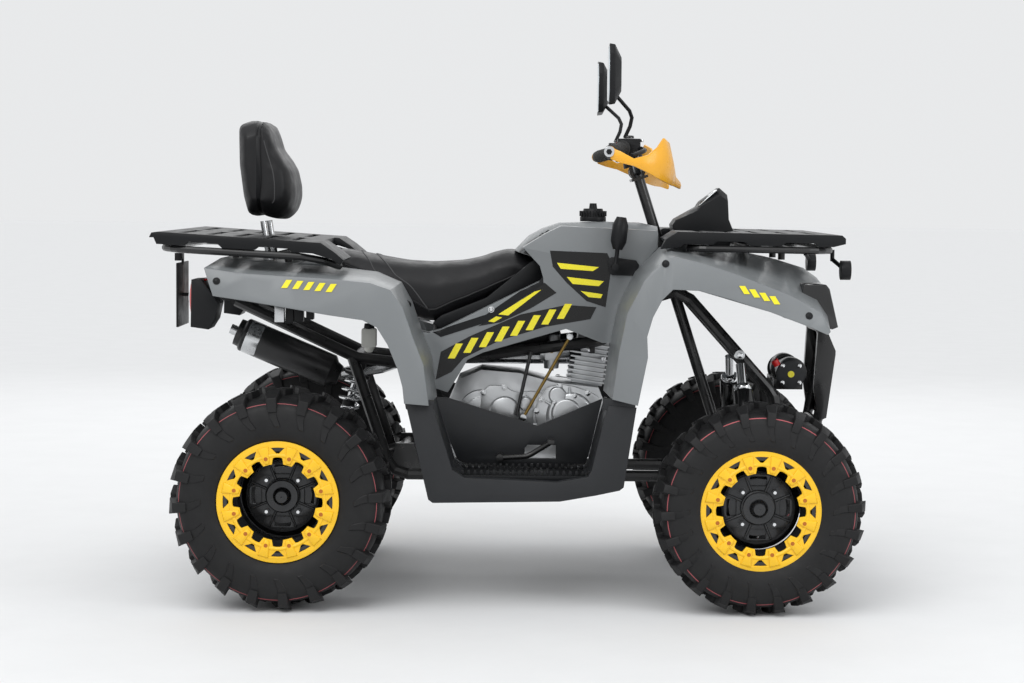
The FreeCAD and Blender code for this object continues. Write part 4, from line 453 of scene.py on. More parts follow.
def circle(radius, sides, centre=(0, 0)):
    return [(centre[0] + x, centre[1] + z) for x, z in (polar(radius, turn) for turn in turns(sides))]


def ring_bore():
    """Inner edge of the yellow ring: pads that reach in, with curved gaps between them."""
    half = math.asin(0.0105 / RING_BORE)
    points = []
    for turn in turns(RING_PADS):
        points += [polar(RING_BORE, turn + RING_PITCH / 2 + half * t) for t in (-1, -0.4, 0.4, 1)]
        points += [polar(RING_R * (0.745 - 0.02 * abs(share - 0.5) / 0.2), turn + RING_PITCH * (share + 0.5))
                   for share in (0.30, 0.38, 0.5, 0.62, 0.70)]
    return points


def wheel_ring(name, centre, hand, body):
    """Yellow ring with a hole and a slot at each pad, raised pads, and darker discs on them as painted shade
    of their recesses.
    """
    outlines = [circle(RING_R, 96), ring_bore()]
    raised, recess = Kit(), Kit()
    front = centre + at(0, hand * 0.0026, 0)
    for gap in turns(RING_PADS):
        pad = gap + RING_PITCH / 2
        outlines.append(circle(0.0048, 16, polar(RING_R * 0.735, pad)))
        outlines.append([polar(RING_R * reach, gap + RING_PITCH * share) for reach, share in SLOT])
        low, high = [], []
        for reach, share in PAD:
            x, z = polar(reach, pad + share * RING_PITCH)
            low.append(front + at(x, 0, z))
            x, z = polar(reach + (0.0022 if reach < 0.1 else -0.0022), pad + share * RING_PITCH * 0.86)
            high.append(front + at(x, hand * 0.0042, z))
        raised.add(*skin_of([low, high]))
        # Flat darker disc set on the pad top: painted shade of a bolt recess.
        x, z = polar(0.1085, pad)
        spot = front + at(x, hand * 0.0036, z)
        recess.drum(spot, spot + at(0, hand * 0.0010, 0), 0.0052, 0.0048, 24)
    ring = plate(name + "_ring", outlines, 0.0012, centre, hand, YELLOW, body)
    raised.lathe([(0.1135 + 0.0052 * math.cos(t), 0.0005 + 0.0042 * math.sin(t)) for t in turns(10)],
                 centre, sides=96, flip=hand)
    raised.show(name + "_ring_pads", YELLOW, body, smooth=38, bevel=0.0007, steps=1)
    recess.show(name + "_ring_recess", RECESS_SHADE, body, smooth=30)
    return ring


def wheel_dish(name, centre, dish_y, lip, hand, body):
    """Barrel, bead seats and the slotted dish with its nuts, hub and domed cap."""
    barrel = [(0.140, lip), (0.140, lip - 0.006), (0.1285, lip - 0.010), (0.1265, lip - 0.03),
              (0.112, lip - 0.045), (0.108, 0.0), (0.112, -lip + 0.045), (0.1265, -lip + 0.03),
              (0.1285, -lip + 0.010), (0.140, -lip + 0.006), (0.140, -lip), (0.1225, -lip),
              (0.1215, -lip + 0.03), (0.104, 0.0), (0.108, lip - 0.05), (0.1215, lip - 0.03), (0.1225, lip)]
    rim = Kit().lathe(barrel, centre, sides=80, flip=hand)
    rim = rim.show(name + "_rim", RIM, body, smooth=42, bevel=0.0008, steps=1)
    slot = [(-0.021, 0.056), (-0.018, 0.053), (0.018, 0.053), (0.021, 0.056), (0.021, 0.074), (0.018, 0.077),
            (-0.018, 0.077), (-0.021, 0.074)]
    slots = [[(x * math.cos(t) - z * math.sin(t), x * math.sin(t) + z * math.cos(t)) for x, z in slot]
             for t in turns(4)]
    face = centre + at(0, hand * dish_y, 0)
    plate(name + "_dish", [circle(0.0865, 72)] + slots + [circle(0.0425, 40)], 0.001,
          centre + at(0, hand * (dish_y - 0.003), 0), hand, HUB, body)
    well = Kit().lathe([(0.0865, -0.006), (0.0900, 0.0035), (0.0875, 0.0045), (0.0840, 0.0010),
                        (0.0840, -0.006)], face, sides=96, flip=hand)
    fixings, studs = Kit(), Kit()
    for turn in turns(4):
        for lean in (-0.40, 0.40):
            start, end = (face + at(x, hand * 0.001, z)
                          for x, z in (polar(r, turn + math.pi / 2 + lean) for r in (0.044, 0.083)))
            well.drum(start, end, 0.0036, 0.0028, 14)
        x, z = polar(0.055, turn + math.pi / 4)
        spot = face + at(x, 0, z)
        fixings.drum(spot, spot + at(0, hand * 0.00153, 0), 0.010625, sides=20)
        fixings.drum(spot + at(0, hand * 0.00153, 0), spot + at(0, hand * 0.00935, 0), 0.00765, sides=6)
        studs.drum(spot, spot + at(0, hand * 0.016, 0), 0.0046, 0.0040, 16)
    well.show(name + "_dish_rim", HUB, body, smooth=50)
    # Black cone deep between the dish and the barrel, darker than the steel round it: painted shade of the
    # wheel's recess.
    deep = Kit().lathe([(0.0870, -0.004), (0.1060, -0.030), (0.1060, -0.034), (0.0850, -0.008)], face,
                       sides=72, flip=hand)
    deep.show(name + "_dish_well_shade", FRAME, body, smooth=50)
    fixings.show(name + "_nuts", RIM, body, smooth=25)
    studs.show(name + "_studs", CHROME, body, smooth=25)
    nose = [(0.0, -0.010), (0.0415, -0.010), (0.0415, 0.001), (0.0375, 0.0025), (0.0365, 0.0095),
            (0.0345, 0.012), (0.0, 0.012)]
    Kit().lathe(nose, face, sides=48, flip=hand).show(name + "_hub", HUB, body, smooth=38)
    dome = [(0.0, 0.010)] + [(0.0235 * math.cos(a), 0.012 + 0.022 * math.sin(a))
                             for a in (0.0, 0.25, 0.5, 0.75, 1.0, 1.25)] + [(0.0, 0.034)]
    Kit().lathe(dome, face, sides=48, flip=hand).show(name + "_cap", GLOSS_BLACK, body, smooth=60)
    return rim


def wheel(name, centre, radius, half, dish_y, count, hand, body):
    """One whole wheel; returns its tyre, rim and ring."""
    lip = half - 0.023
    carcass = tyre(name, centre, radius, half, count, body)
    rim = wheel_dish(name, centre, dish_y, lip, hand, body)
    return carcass, rim, wheel_ring(name, centre + at(0, hand * (lip + 0.003), 0), hand, body)


def build_wheels():
    for hand, side in SIDES:
        name = "front_wheel_" + side
        front = wheel(name, at(FRONT_X, hand * FRONT_Y, FRONT_R), FRONT_R, FRONT_HALF, 0.008, 22, hand, name)
        rear = wheel("rear_wheel_" + side, at(REAR_X, hand * REAR_Y, REAR_R), REAR_R, REAR_HALF, -0.008, 20,
                     hand, "rear_wheels")
        for shown, part in zip(front, ("tyre", "rim", "ring")):
            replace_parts(shown, "front_%s_%s" % (part, side))
        if hand < 0:
            for shown, node_name in zip(rear, ("rear_tyres", "rear_rims", "rear_rings")):
                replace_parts(shown, node_name)


build_wheels()


# Seat and backrest: stuffed forms with seams
SEAT_TOP = [(-0.458, 0.852), (-0.440, 0.866), (-0.385, 0.858), (-0.299, 0.842), (-0.250, 0.834),
            (-0.183, 0.831), (-0.107, 0.836), (-0.060, 0.846), (-0.031, 0.858), (0.012, 0.870),
            (0.055, 0.862), (0.080, 0.846)]
SEAT_LOW = [(-0.458, 0.842), (-0.440, 0.826), (-0.368, 0.790), (-0.255, 0.715), (-0.202, 0.682),
            (-0.176, 0.682), (-0.100, 0.717), (0.000, 0.763), (0.080, 0.800)]
SEAT_HALF = [(-0.458, 0.118), (-0.40, 0.143), (-0.25, 0.146), (-0.15, 0.140), (-0.05, 0.128), (0.08, 0.112)]
BACK_LINE = [(-0.689, 1.186), (-0.682, 1.196), (-0.655, 1.203), (-0.636, 1.207), (-0.620, 1.201),
             (-0.606, 1.165), (-0.594, 1.125), (-0.572, 1.097), (-0.556, 1.070), (-0.547, 1.030),
             (-0.544, 0.997), (-0.553, 0.965), (-0.577, 0.942), (-0.620, 0.943), (-0.662, 0.945),
             (-0.676, 1.000), (-0.687, 1.085)]
VOXEL = 0.0055
CLOTH_STEPS = 20


def blown_places(pad, pressure):
    """Where the points of a closed skin go when it is blown up as cloth."""
    cloth = pad.modifiers.new("stuffing", "CLOTH")
    cloth.settings.use_pressure = True
    cloth.settings.uniform_pressure_force = pressure
    cloth.settings.effector_weights.gravity = 0
    cloth.settings.quality = 4
    cloth.point_cache.frame_start, cloth.point_cache.frame_end = 1, CLOTH_STEPS
    for step in range(1, CLOTH_STEPS + 1):
        scene.frame_set(step)
    blown = pad.evaluated_get(bpy.context.evaluated_depsgraph_get())
    spots = [v.co.copy() for v in blown.data.vertices]
    pad.modifiers.remove(cloth)
    scene.frame_set(1)
    return spots


def stuffed(name, form, cap, pressure):
    """Closed form remeshed, blown up a little as cloth, held to a cap, then smoothed."""
    pad = piece(name, *form, VINYL, None, smooth=180)
    bpy.context.view_layer.objects.active = pad
    remesh = pad.modifiers.new("remesh", "REMESH")
    remesh.mode = "VOXEL"
    remesh.voxel_size = VOXEL
    bpy.ops.object.modifier_apply(modifier=remesh.name)
    start = [v.co.copy() for v in pad.data.vertices]
    for vertex, old, new in zip(pad.data.vertices, start, blown_places(pad, pressure)):
        move = new - old
        vertex.co = old + (move.normalized() * cap if move.length > cap else move)
    soft = bmesh.new()
    soft.from_mesh(pad.data)
    for _ in range(3):
        bmesh.ops.smooth_vert(soft, verts=soft.verts, factor=0.5, use_axis_x=True, use_axis_y=True,
                              use_axis_z=True)
    for face in soft.faces:
        face.smooth = True
    soft.to_mesh(pad.data)
    soft.free()
    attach(pad, "chassis")
    return pad


def seam_on(pad, name, path, size, look=THREAD):
    """Line laid on a pad's surface as fine piping."""
    pad_mesh = bmesh.new()
    pad_mesh.from_mesh(pad.data)
    tree = BVHTree.FromBMesh(pad_mesh)
    pad_mesh.free()
    smooth_path = rounded(path, 0.06, 8)
    dense = []
    for one, two in zip(smooth_path, smooth_path[1:]):
        steps = max(1, int((two - one).length / 0.008))
        dense += [one.lerp(two, t / steps) for t in range(steps)]
    spots = []
    for point in dense + [smooth_path[-1]]:
        spot, normal, _, _ = tree.find_nearest(point)
        spots.append(spot + normal * size * 0.2)
    for _ in range(3):
        inner = [(a + b * 2 + c) / 4 for a, b, c in zip(spots, spots[1:], spots[2:])]
        spots = [spots[0]] + inner + [spots[-1]]
    return Kit().add(*sweep(spots, size, 8)).show(name, look, smooth=60)


def seat_form(stations=29, around=36, squareness=3.6):
    """Rounded-square rings along the seat, dished on top and tucked in below."""
    rings = []
    for step in range(stations):
        x = -0.455 + 0.533 * step / (stations - 1)
        top, low, half = between(SEAT_TOP, x), between(SEAT_LOW, x), between(SEAT_HALF, x)
        ring = []
        for turn in turns(around):
            across, up = (math.copysign(abs(c) ** (2 / squareness), c) for c in polar(1, turn))
            tuck = 1 - 0.05 * (1 - up) / 2
            crown = 0.020 * across * across * (up + 1) / 2
            ring.append((x, across * half * tuck, (low + top) / 2 + up * (top - low) / 2 - crown))
        rings.append(ring)
    return skin_of(rings)


def build_seat():
    seat = stuffed("seat_cushion", seat_form(), 0.006, 3.0)
    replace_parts(seat, "seat")
    for hand, side in SIDES:
        y = hand * 0.2
        seam_on(seat, "seat_seam_" + side, [
            (-0.330, 0.0, 0.90), (-0.318, hand * 0.08, 0.88), (-0.262, y, 0.815), (-0.228, y, 0.765),
            (-0.203, y, 0.705), (-0.198, y, 0.672)], 0.0016)
        seam_on(seat, "seat_back_seam_" + side, [
            (-0.372, 0.0, 0.90), (-0.360, hand * 0.08, 0.88), (-0.318, y, 0.812), (-0.272, y, 0.758),
            (-0.238, y, 0.700)], 0.0013)
        seam_on(seat, "seat_piping_" + side, [
            (-0.440, y, 0.838), (-0.368, y, 0.797), (-0.255, y, 0.722), (-0.202, y, 0.690),
            (-0.170, y, 0.690), (-0.1, y, 0.722), (0.0, y, 0.768), (0.075, y, 0.806)], 0.0028, VINYL)


def back_form(inset, half, x_low, x_high):
    """The part of the backrest between two depths, narrower and rounder towards its sides."""
    middle = Vector((sum(p[0] for p in BACK_LINE), sum(p[1] for p in BACK_LINE))) / len(BACK_LINE)
    rings = []
    for share in (-1, -0.97, -0.9, -0.78, -0.6, -0.35, 0, 0.35, 0.6, 0.78, 0.9, 0.97, 1):
        size = (1 - abs(share) ** 5 * 0.34) * inset
        spots = [middle + (Vector(p) - middle) * size for p in BACK_LINE]
        rings.append([(min(max(spot.x, x_low), x_high), share * half, spot.y) for spot in spots])
    return skin_of(rings)


def build_backrest():
    front = stuffed("backrest_front", back_form(0.985, 0.158, -0.628, -0.50), 0.006, 3.0)
    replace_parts(front, "backrest_pad")
    stuffed("backrest_rear", back_form(0.965, 0.150, -0.70, -0.632), 0.004, 2.0)
    Kit().add(*back_form(0.90, 0.146, -0.650, -0.610)).show("backrest_core", BLACK, smooth=60)
    for hand, side in SIDES:
        seam_on(front, "backrest_seam_" + side, [(x, hand * 0.2, z) for x, z in (
            (-0.607, 1.15), (-0.592, 1.07), (-0.585, 1.0), (-0.592, 0.955))], 0.0014)


build_seat()
build_backrest()


# CAD panels shown with rounded edges
def softened(node_name, look, bevel, split=None):
    """A shown copy of a CAD node with its edges rounded; split is a test of faces and their look."""
    node = NODES[node_name]
    shell = bmesh.new()
    shell.from_mesh(node.data)
    bmesh.ops.transform(shell, matrix=node.matrix_world, verts=shell.verts)
    bmesh.ops.remove_doubles(shell, verts=shell.verts, dist=0.00004)
    bmesh.ops.dissolve_limit(shell, angle_limit=math.radians(2.0), verts=shell.verts, edges=shell.edges)
    if bevel:
        round_edges(shell, 32, bevel, 2)
    bmesh.ops.recalc_face_normals(shell, faces=shell.faces)
    for face in shell.faces:
        if split and split[0](face.calc_center_median()):
            face.material_index = 1
    for edge in shell.edges:
        edge.smooth = not is_sharp(edge, 40)
    looks = [look, split[1]] if split else [look]
    shown = shown_mesh(node_name + "_shown", shell, looks, body_for(node_name))
    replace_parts(shown, node_name)


for panel in (
    ("rear_fender", GREY, 0.0022), ("front_fender", GREY, 0.0022), ("side_panels", GREY, 0.0018),
    ("tank_cover", GREY, 0.0025), ("nose", BLACK, 0.003), ("instrument_pod", BLACK, 0.004),
    ("footwells", SHADOW_GREY, 0.0022), ("foot_pegs", BLACK, 0.0015), ("rear_rack_cover", BLACK, 0.0018),
    ("front_rack_cover", BLACK, 0.0018), ("hand_guards", GUARD, 0.0016), ("mirrors", BLACK, 0.004),
    ("hand_controls", BLACK, 0.002), ("engine_case", CAST, 0.003), ("engine_cylinder", CAST, 0.0008),
    ("airbox", BLACK, 0.004), ("winch", FRAME, 0.002), ("tail_lamps", BLACK, 0.003),
    ("fuel_cap", BLACK, 0.0012), ("gear_lever", BLACK, 0.0012), ("swing_arm", FRAME, 0.0015),
    ("plate_bracket", BLACK, 0.0012), ("brake_pedal", FRAME, 0.001), ("headlamps", GLOSS_BLACK, 0.0015),
    ("front_bumper", FRAME, 0.0015), ("handlebar", FRAME, 0.0), ("grips", RUBBER, 0.0008),
):
    softened(*panel)


# Places on CAD nodes, for details that lie on them
TREES = {}
PIXEL, CAMERA_Y, CAMERA_FAR = 0.00239, 5.55, 5.05


def cast_on(node_name, start, way, fallback):
    """Where a ray meets a CAD node, or else the node's nearest place to a point."""
    if node_name not in TREES:
        node = NODES[node_name]
        points = [node.matrix_world @ v.co for v in node.data.vertices]
        TREES[node_name] = BVHTree.FromPolygons(points, [tuple(p.vertices) for p in node.data.polygons])
    spot, normal, _, _ = TREES[node_name].ray_cast(start, way)
    if spot is None:
        spot, normal, _, _ = TREES[node_name].find_nearest(fallback)
    return spot, normal


def side_hit(node_name, x, z, hand):
    """Outermost point and normal of a node seen from one side."""
    spot, normal = cast_on(node_name, at(x, hand * 2.0, z), at(0, -hand, 0), at(x, hand * 0.3, z))
    return spot, normal if normal.y * hand > 0 else -normal


def seen_at(px, py, y):
    """Side-view place (x, z) of a place in the photograph, at a distance across."""
    scale = PIXEL * (CAMERA_Y + y) / CAMERA_FAR
    return 0.0185 + (px - 512) * scale, 1.020 - (py - 192) * scale


def seen_outline(points, y):
    return [seen_at(px, py, y) for px, py in points]


def at_engine(px, py, y):
    x, z = seen_at(px, py, y)
    return at(x, y, z)


def decal(name, node_name, outline, hand, look, lift):
    """Thin patch that follows a node's side surface inside an (x, z) outline."""
    shell = bmesh.new()
    shell.faces.new([shell.verts.new((x, 0, z)) for x, z in outline])
    bmesh.ops.triangulate(shell, faces=shell.faces)
    for _ in range(6):
        long = [e for e in shell.edges if e.calc_length() > 0.02]
        if not long:
            break
        bmesh.ops.subdivide_edges(shell, edges=long, cuts=1)
        bmesh.ops.triangulate(shell, faces=[f for f in shell.faces if len(f.verts) > 3])
    for vert in shell.verts:
        spot, normal = side_hit(node_name, vert.co.x, vert.co.z, hand)
        vert.co = spot + normal * lift
    bmesh.ops.remove_doubles(shell, verts=shell.verts, dist=0.0002)
    bmesh.ops.recalc_face_normals(shell, faces=shell.faces)
    if sum(f.normal.y for f in shell.faces) * hand < 0:
        bmesh.ops.reverse_faces(shell, faces=shell.faces)
    shown_mesh(name, shell, [look], body_for(node_name))


def screw(kit, node_name, px, py, y, hand, size=0.007):
    """Round screw head on a node's side, at a place in the photograph."""
    spot, normal = side_hit(node_name, *seen_at(px, py, y), hand)
    kit.drum(spot - normal * 0.002, spot + normal * 0.0012, size * 1.3, sides=24)
    kit.drum(spot + normal * 0.0012, spot + normal * 0.0034, size, size * 0.7, sides=24)


# Bar, grips, switches and mirrors
GRIP_END, GRIP_WAY = at(0.25497, 0.392, 1.12024), at(-0.2726, 0.9594, -0.0734)
GRIP_RIB = [(0.0155, -0.0018), (0.0172, -0.0010), (0.0172, 0.0010), (0.0155, 0.0018)]
MIRROR_FACE = ((-0.5, -0.22), (-0.40, -0.46), (0.36, -0.5), (0.5, -0.30), (0.46, 0.34), (0.28, 0.5),
               (-0.30, 0.46), (-0.5, 0.26))
LEAN = math.radians(18)
COLUMN_UP, COLUMN_AHEAD = at(-math.sin(LEAN), 0, math.cos(LEAN)), at(math.cos(LEAN), 0, math.sin(LEAN))


def build_grips():
    """Ribs on the grips, and the fixing of each guard at the end of the bar."""
    for hand, side in SIDES:
        end, way = handed(GRIP_END, hand), handed(GRIP_WAY, hand)
        ribs = Kit()
        for index in range(17):
            ribs.lathe(GRIP_RIB, end - way * (0.098 - index * 0.0052), way, sides=28)
        ribs.show("grip_ribs_" + side, RUBBER, "steering", smooth=50)
        boss = Kit().drum(end + way * 0.0150, end + way * 0.0185, 0.0135, 0.0125)
        boss.show("guard_boss_" + side, CHROME, "steering")
        cap = Kit().drum(end + way * 0.0185, end + way * 0.0205, 0.0078, 0.0066, 6)
        cap.show("guard_bolt_" + side, BLACK, "steering")


def build_mirror_glass():
    wide, tall = 0.118 * 0.90, 0.150 * 0.90
    for hand, side in SIDES:
        rings = [[at(x, hand * (0.330 + a * wide * grow), 1.309 + u * tall * grow) for a, u in MIRROR_FACE]
                 for x, grow in ((0.2490, 1.0), (0.2512, 1.02))]
        Kit().add(*skin_of(rings)).show("mirror_glass_" + side, GLASS, "steering", smooth=40, bevel=0.0012)


def build_switches():
    """Buttons and screws on the hand controls."""
    red, black, silver = Kit(), Kit(), Kit()
    for hand, _ in SIDES:
        red.brick((0.2745, hand * 0.232, 1.136), (0.2795, hand * 0.244, 1.146))
        black.brick((0.2750, hand * 0.228, 1.114), (0.2790, hand * 0.252, 1.131))
        black.drum((0.306, hand * 0.245, 1.1560), (0.306, hand * 0.245, 1.1630), 0.014, 0.012, 24)
        black.drum((0.285, hand * 0.214, 1.130), (0.285, hand * 0.206, 1.128), 0.010, 0.008, 20)
        silver.drum((0.338, hand * 0.249, 1.147), (0.338, hand * 0.249, 1.1535), 0.0055, sides=6)
    red.brick((0.2732, 0.2345, 1.117), (0.2752, 0.2455, 1.128))
    red.show("switch_red", RED_PAINT, "steering", bevel=0.001)
    black.show("switch_black", GLOSS_BLACK, "steering", bevel=0.0012)
    silver.show("lever_pins", STEEL, "steering", bevel=0.0005)


def build_bar_centre():
    """Clamp bolts and the key barrel before the pod."""
    up, bolts = COLUMN_UP, Kit()
    centre = at(0.34097, 0, 1.0756)
    for hand, _ in SIDES:
        for step in (-1, 1):
            spot = centre + at(0.016 * step, hand * 0.052, 0) + up * 0.020
            bolts.drum(spot, spot + up * 0.008, 0.0048, sides=6)
    bolts.show("clamp_bolts", STEEL, "steering", bevel=0.0004)
    box = centre + up * 0.022
    barrel = Kit().drum(box - up * 0.006, box + up * 0.020, 0.030, 0.026, 40)
    barrel.drum(box + up * 0.020, box + up * 0.024, 0.014, 0.013, 24)
    barrel.show("key_barrel", BLACK, "steering", bevel=0.001)
    key = Kit().brick(box + at(-0.018, -0.0015, 0.016), box + at(0.002, 0.0015, 0.040))
    key.show("key", STEEL, "steering", bevel=0.0006)


# Shock absorbers
def build_rear_shock(coils=6, steps=28):
    """Damper with its seats and eyes, coil spring and stem."""
    low, high = at(-0.440, 0, 0.3622), at(-0.381, 0, 0.5608)
    way = (high - low).normalized()
    one, two = frame_of(way)
    foot, top = low.lerp(high, 0.16), low.lerp(high, 0.86)
    body = Kit().drum(low, low.lerp(high, 0.55), 0.0165, sides=40)
    body.drum(foot - way * 0.007, foot, 0.0335, sides=48).drum(top, top + way * 0.007, 0.0335, sides=48)
    for spot in (low, high):
        body.drum(spot - at(0, 0.0145, 0), spot + at(0, 0.0145, 0), 0.0152)
    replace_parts(body.show("rear_damper", BLACK, bevel=0.0008), "rear_shock")
    path = []
    for index in range(coils * steps + 1):
        turn, share = math.tau * index / steps, index / (coils * steps)
        out = one * math.cos(turn) + two * math.sin(turn)
        path.append(low.lerp(high, 0.17 + 0.68 * share) + out * 0.0262)
    Kit().add(*sweep(path, 0.0048, 12)).show("rear_spring", CHROME, smooth=70)
    stem = Kit().drum(low.lerp(high, 0.5), high, 0.009)
    for hand, _ in SIDES:
        stem.drum(low + at(0, hand * 0.0145, 0), low + at(0, hand * 0.020, 0), 0.009, sides=6)
    stem.show("rear_stem", CHROME, bevel=0.0005)


def build_front_shocks():
    """Sleeved front shock absorbers with bright collars and stems."""
    for hand, side in SIDES:
        low, high = handed((0.622, 0.2327, 0.3653), hand), handed((0.604, 0.1246, 0.6067), hand)
        way, foot = (high - low).normalized(), low.lerp(high, 0.16)
        sleeve = Kit().lathe([(0.0265, 0.0), (0.0275, 0.004), (0.0275, 0.118), (0.0262, 0.122),
                              (0.0190, 0.124), (0.0, 0.124), (0.0, 0.0)], foot, way, sides=56)
        shown = sleeve.show("front_sleeve_" + side, GLOSS_BLACK, smooth=40)
        if hand < 0:
            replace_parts(shown, "front_shocks")
        bright = Kit().lathe([(0.0, 0.0), (0.033, 0.0), (0.033, 0.0035), (0.0295, 0.0065), (0.0, 0.0065)],
                             low.lerp(high, 0.135), way, sides=56)
        bright.lathe([(0.0, 0.0), (0.0215, 0.0), (0.0235, 0.003), (0.0235, 0.012), (0.0215, 0.015),
                      (0.0, 0.015)], foot + way * 0.124, way, sides=48)
        bright.drum(low.lerp(high, 0.70), low.lerp(high, 0.90), 0.0125, sides=36)
        bright.drum(low, low.lerp(high, 0.14), 0.0125)
        bright.show("front_chrome_" + side, CHROME, smooth=40)
        eyes, pins = Kit(), Kit()
        for spot in (low, high):
            eyes.drum(spot - at(0, 0.0126, 0), spot + at(0, 0.0126, 0), 0.0133)
            pins.drum(spot - at(0, 0.0185, 0), spot + at(0, 0.0185, 0), 0.0075, sides=6)
        eyes.show("front_eyes_" + side, STEEL, bevel=0.0008)
        pins.show("front_pins_" + side, CHROME, bevel=0.0006)


# Engine side: cases with round covers, carburettor and rods
CLUTCH = [(540, 398), (547, 388), (560, 384), (574, 386), (590, 391), (602, 398), (606, 412), (600, 430),
          (586, 443), (566, 447), (548, 441), (538, 426), (535, 411)]
GEARBOX = [(482, 392), (490, 386), (504, 386), (512, 391), (524, 394), (534, 400), (534, 430), (520, 440),
           (494, 436), (480, 420)]
SUMP = [(500, 424), (538, 424), (560, 440), (596, 446), (600, 458), (486, 458), (480, 440)]
# Round covers as (place in the photograph, radius, depth)
COVERS = ((571, 416, 0.062, 0.016), (567, 413, 0.040, 0.024), (558, 395, 0.023, 0.018),
          (505, 412, 0.040, 0.014), (526, 404, 0.018, 0.012))


def cover(kit, centre, radius, depth, hand):
    """Round lid that stands out from the case."""
    steps = ((1.0, 0.0), (1.0, 0.55), (0.94, 0.85), (0.86, 1.0), (0.0, 1.0), (0.0, 0.0))
    kit.lathe([(radius * r, depth * d) for r, d in steps], centre, sides=72, flip=hand)


def ring_bolts(kit, centre, radius, count, hand, size, phase):
    """Bolts with washers round a circle."""
    for turn in turns(count, phase):
        spot, out = centre + at(math.cos(turn) * radius, 0, math.sin(turn) * radius), at(0, hand * 0.005, 0)
        kit.drum(spot, spot + out, size * 1.3, sides=20).drum(spot + out, spot + out * 2, size, sides=6)


def build_engine_side():
    """Raised cases, round covers, ribs and bolts on both sides."""
    for hand, side in SIDES:
        cast, bolts, ribs = Kit(), Kit(), Kit()
        for outline, low, high in ((CLUTCH, 0.120, 0.140), (GEARBOX, 0.118, 0.134), (SUMP, 0.104, 0.130)):
            shape = seen_outline(outline, -0.13)
            cast.prism(shape, hand * low, hand * high)
            cx, cz = (sum(values) / len(shape) for values in zip(*shape))
            for x, z in shape[::2]:
                spot = at(cx + (x - cx) * 0.93, hand * high, cz + (z - cz) * 0.93)
                bolts.drum(spot, spot + at(0, hand * 0.006, 0), 0.0052, sides=6)
                bolts.drum(spot, spot + at(0, hand * 0.0015, 0), 0.0075, sides=20)
        for px, py, radius, depth in COVERS:
            centre = at_engine(px, py, -0.136)
            cover(cast, at(centre.x, hand * 0.136, centre.z), radius, depth, hand)
        cast.show("engine_covers_" + side, CAST, smooth=40, bevel=0.0018)
        hub = at_engine(571, 416, -0.136)
        for angle in (0.35, 1.6, 2.6, 3.9, 5.2):
            out = at(math.cos(angle), 0, math.sin(angle))
            start = at(hub.x, hand * 0.146, hub.z) + out * 0.042
            ribs.drum(start, start + out * 0.034, 0.0042, 0.0032, 16)
        ribs.show("cover_ribs_" + side, CAST, smooth=50)
        ring_bolts(bolts, at(hub.x, hand * 0.148, hub.z), 0.0545, 6, hand, 0.0048, 0.3)
        bolts.show("engine_bolts_" + side, STEEL, bevel=0.0004)


def build_head_bolts():
    """Bolts on the cylinder and its head, and the plug's cap."""
    bright = Kit()
    for px, py in ((574, 342), (590, 349), (604, 358), (577, 398), (592, 400)):
        spot = at_engine(px, py, -0.064)
        bright.drum(spot, spot - at(0, 0.010, 0), 0.0065, sides=6)
    bright.show("head_bolts", STEEL, bevel=0.0005)
    cap = Kit().drum(at_engine(592, 352, -0.066), at_engine(592, 345, -0.070), 0.0085, sides=20)
    cap.show("spark_cap", HOSE, smooth=50)


def build_carburettor():
    def near(x, y, z):
        return at(0.122 + x, -0.030 + y, 0.604 + z)
    body = Kit().drum(near(-0.030, 0, -0.004), near(0.046, 0, 0.006), 0.021, sides=36)
    body.drum(near(0, 0, -0.044), near(0, 0, 0), 0.019, 0.023, 36)
    body.brick(near(-0.018, -0.034, -0.020), near(0.018, 0, 0.024))
    body.drum(near(0, 0, 0), near(0, 0, 0.046), 0.024, 0.022, 36)
    body.show("carburettor", CAST, smooth=40, bevel=0.0012)
    cap = Kit().drum(near(0, 0, 0.046), near(0, 0, 0.058), 0.025, 0.021, 36)
    cap.drum(near(0.046, 0, 0.006), near(0.075, 0, 0.010), 0.024, sides=36)
    cap.show("carburettor_cap", BLACK, smooth=40, bevel=0.001)
    brass = Kit().drum(near(0, -0.034, 0.004), near(0, -0.041, 0.004), 0.006, sides=6)
    brass.drum(near(0, 0, -0.050), near(0, 0, -0.044), 0.007, sides=6)
    brass.show("carburettor_brass", GOLD, bevel=0.0004)


def rod(name, look, start, end, y, radius):
    Kit().drum(at_engine(*start, y), at_engine(*end, y), radius, sides=20).show(name, look, smooth=50)


def build_rods():
    rod("shift_rod", GOLD, (570, 336), (524, 418), -0.166, 0.0040)
    ends = Kit()
    for px, py in ((524, 418), (570, 336)):
        spot = at_engine(px, py, -0.166)
        ends.drum(spot - at(0, 0.009, 0), spot + at(0, 0.026, 0), 0.0085, sides=24)
    ends.show("shift_rod_ends", STEEL, bevel=0.0006)
    rod("clutch_rod", FRAME, (531, 352), (517, 416), -0.158, 0.0048)
    rod("footwell_stay", CHROME, (607, 406), (603, 436), -0.205, 0.0036)


def build_winch():
    """End plates of the winch, and the cap on its terminal."""
    for hand, side in SIDES:
        centre, disc, bolts = at(0.7415, hand * 0.0925, 0.5555), Kit(), Kit()
        cover(disc, centre, 0.0385, 0.006, hand)
        disc.show("winch_end_" + side, SHADOW_GREY, smooth=40)
        ring_bolts(bolts, centre + at(0, hand * 0.004, 0), 0.031, 4, hand, 0.0040, 0.5)
        bolts.show("winch_bolts_" + side, CHROME, bevel=0.0004)
        dot = Kit().drum(centre + at(0, hand * 0.006, 0), centre + at(0, hand * 0.0072, 0), 0.0085)
        dot.show("winch_dot_" + side, DECAL_YELLOW)
    cap = Kit().drum((0.697, -0.097, 0.592), (0.706, -0.095, 0.578), 0.0095, sides=24)
    cap.show("winch_terminal_cap", RED_CAP, smooth=60, bevel=0.001)


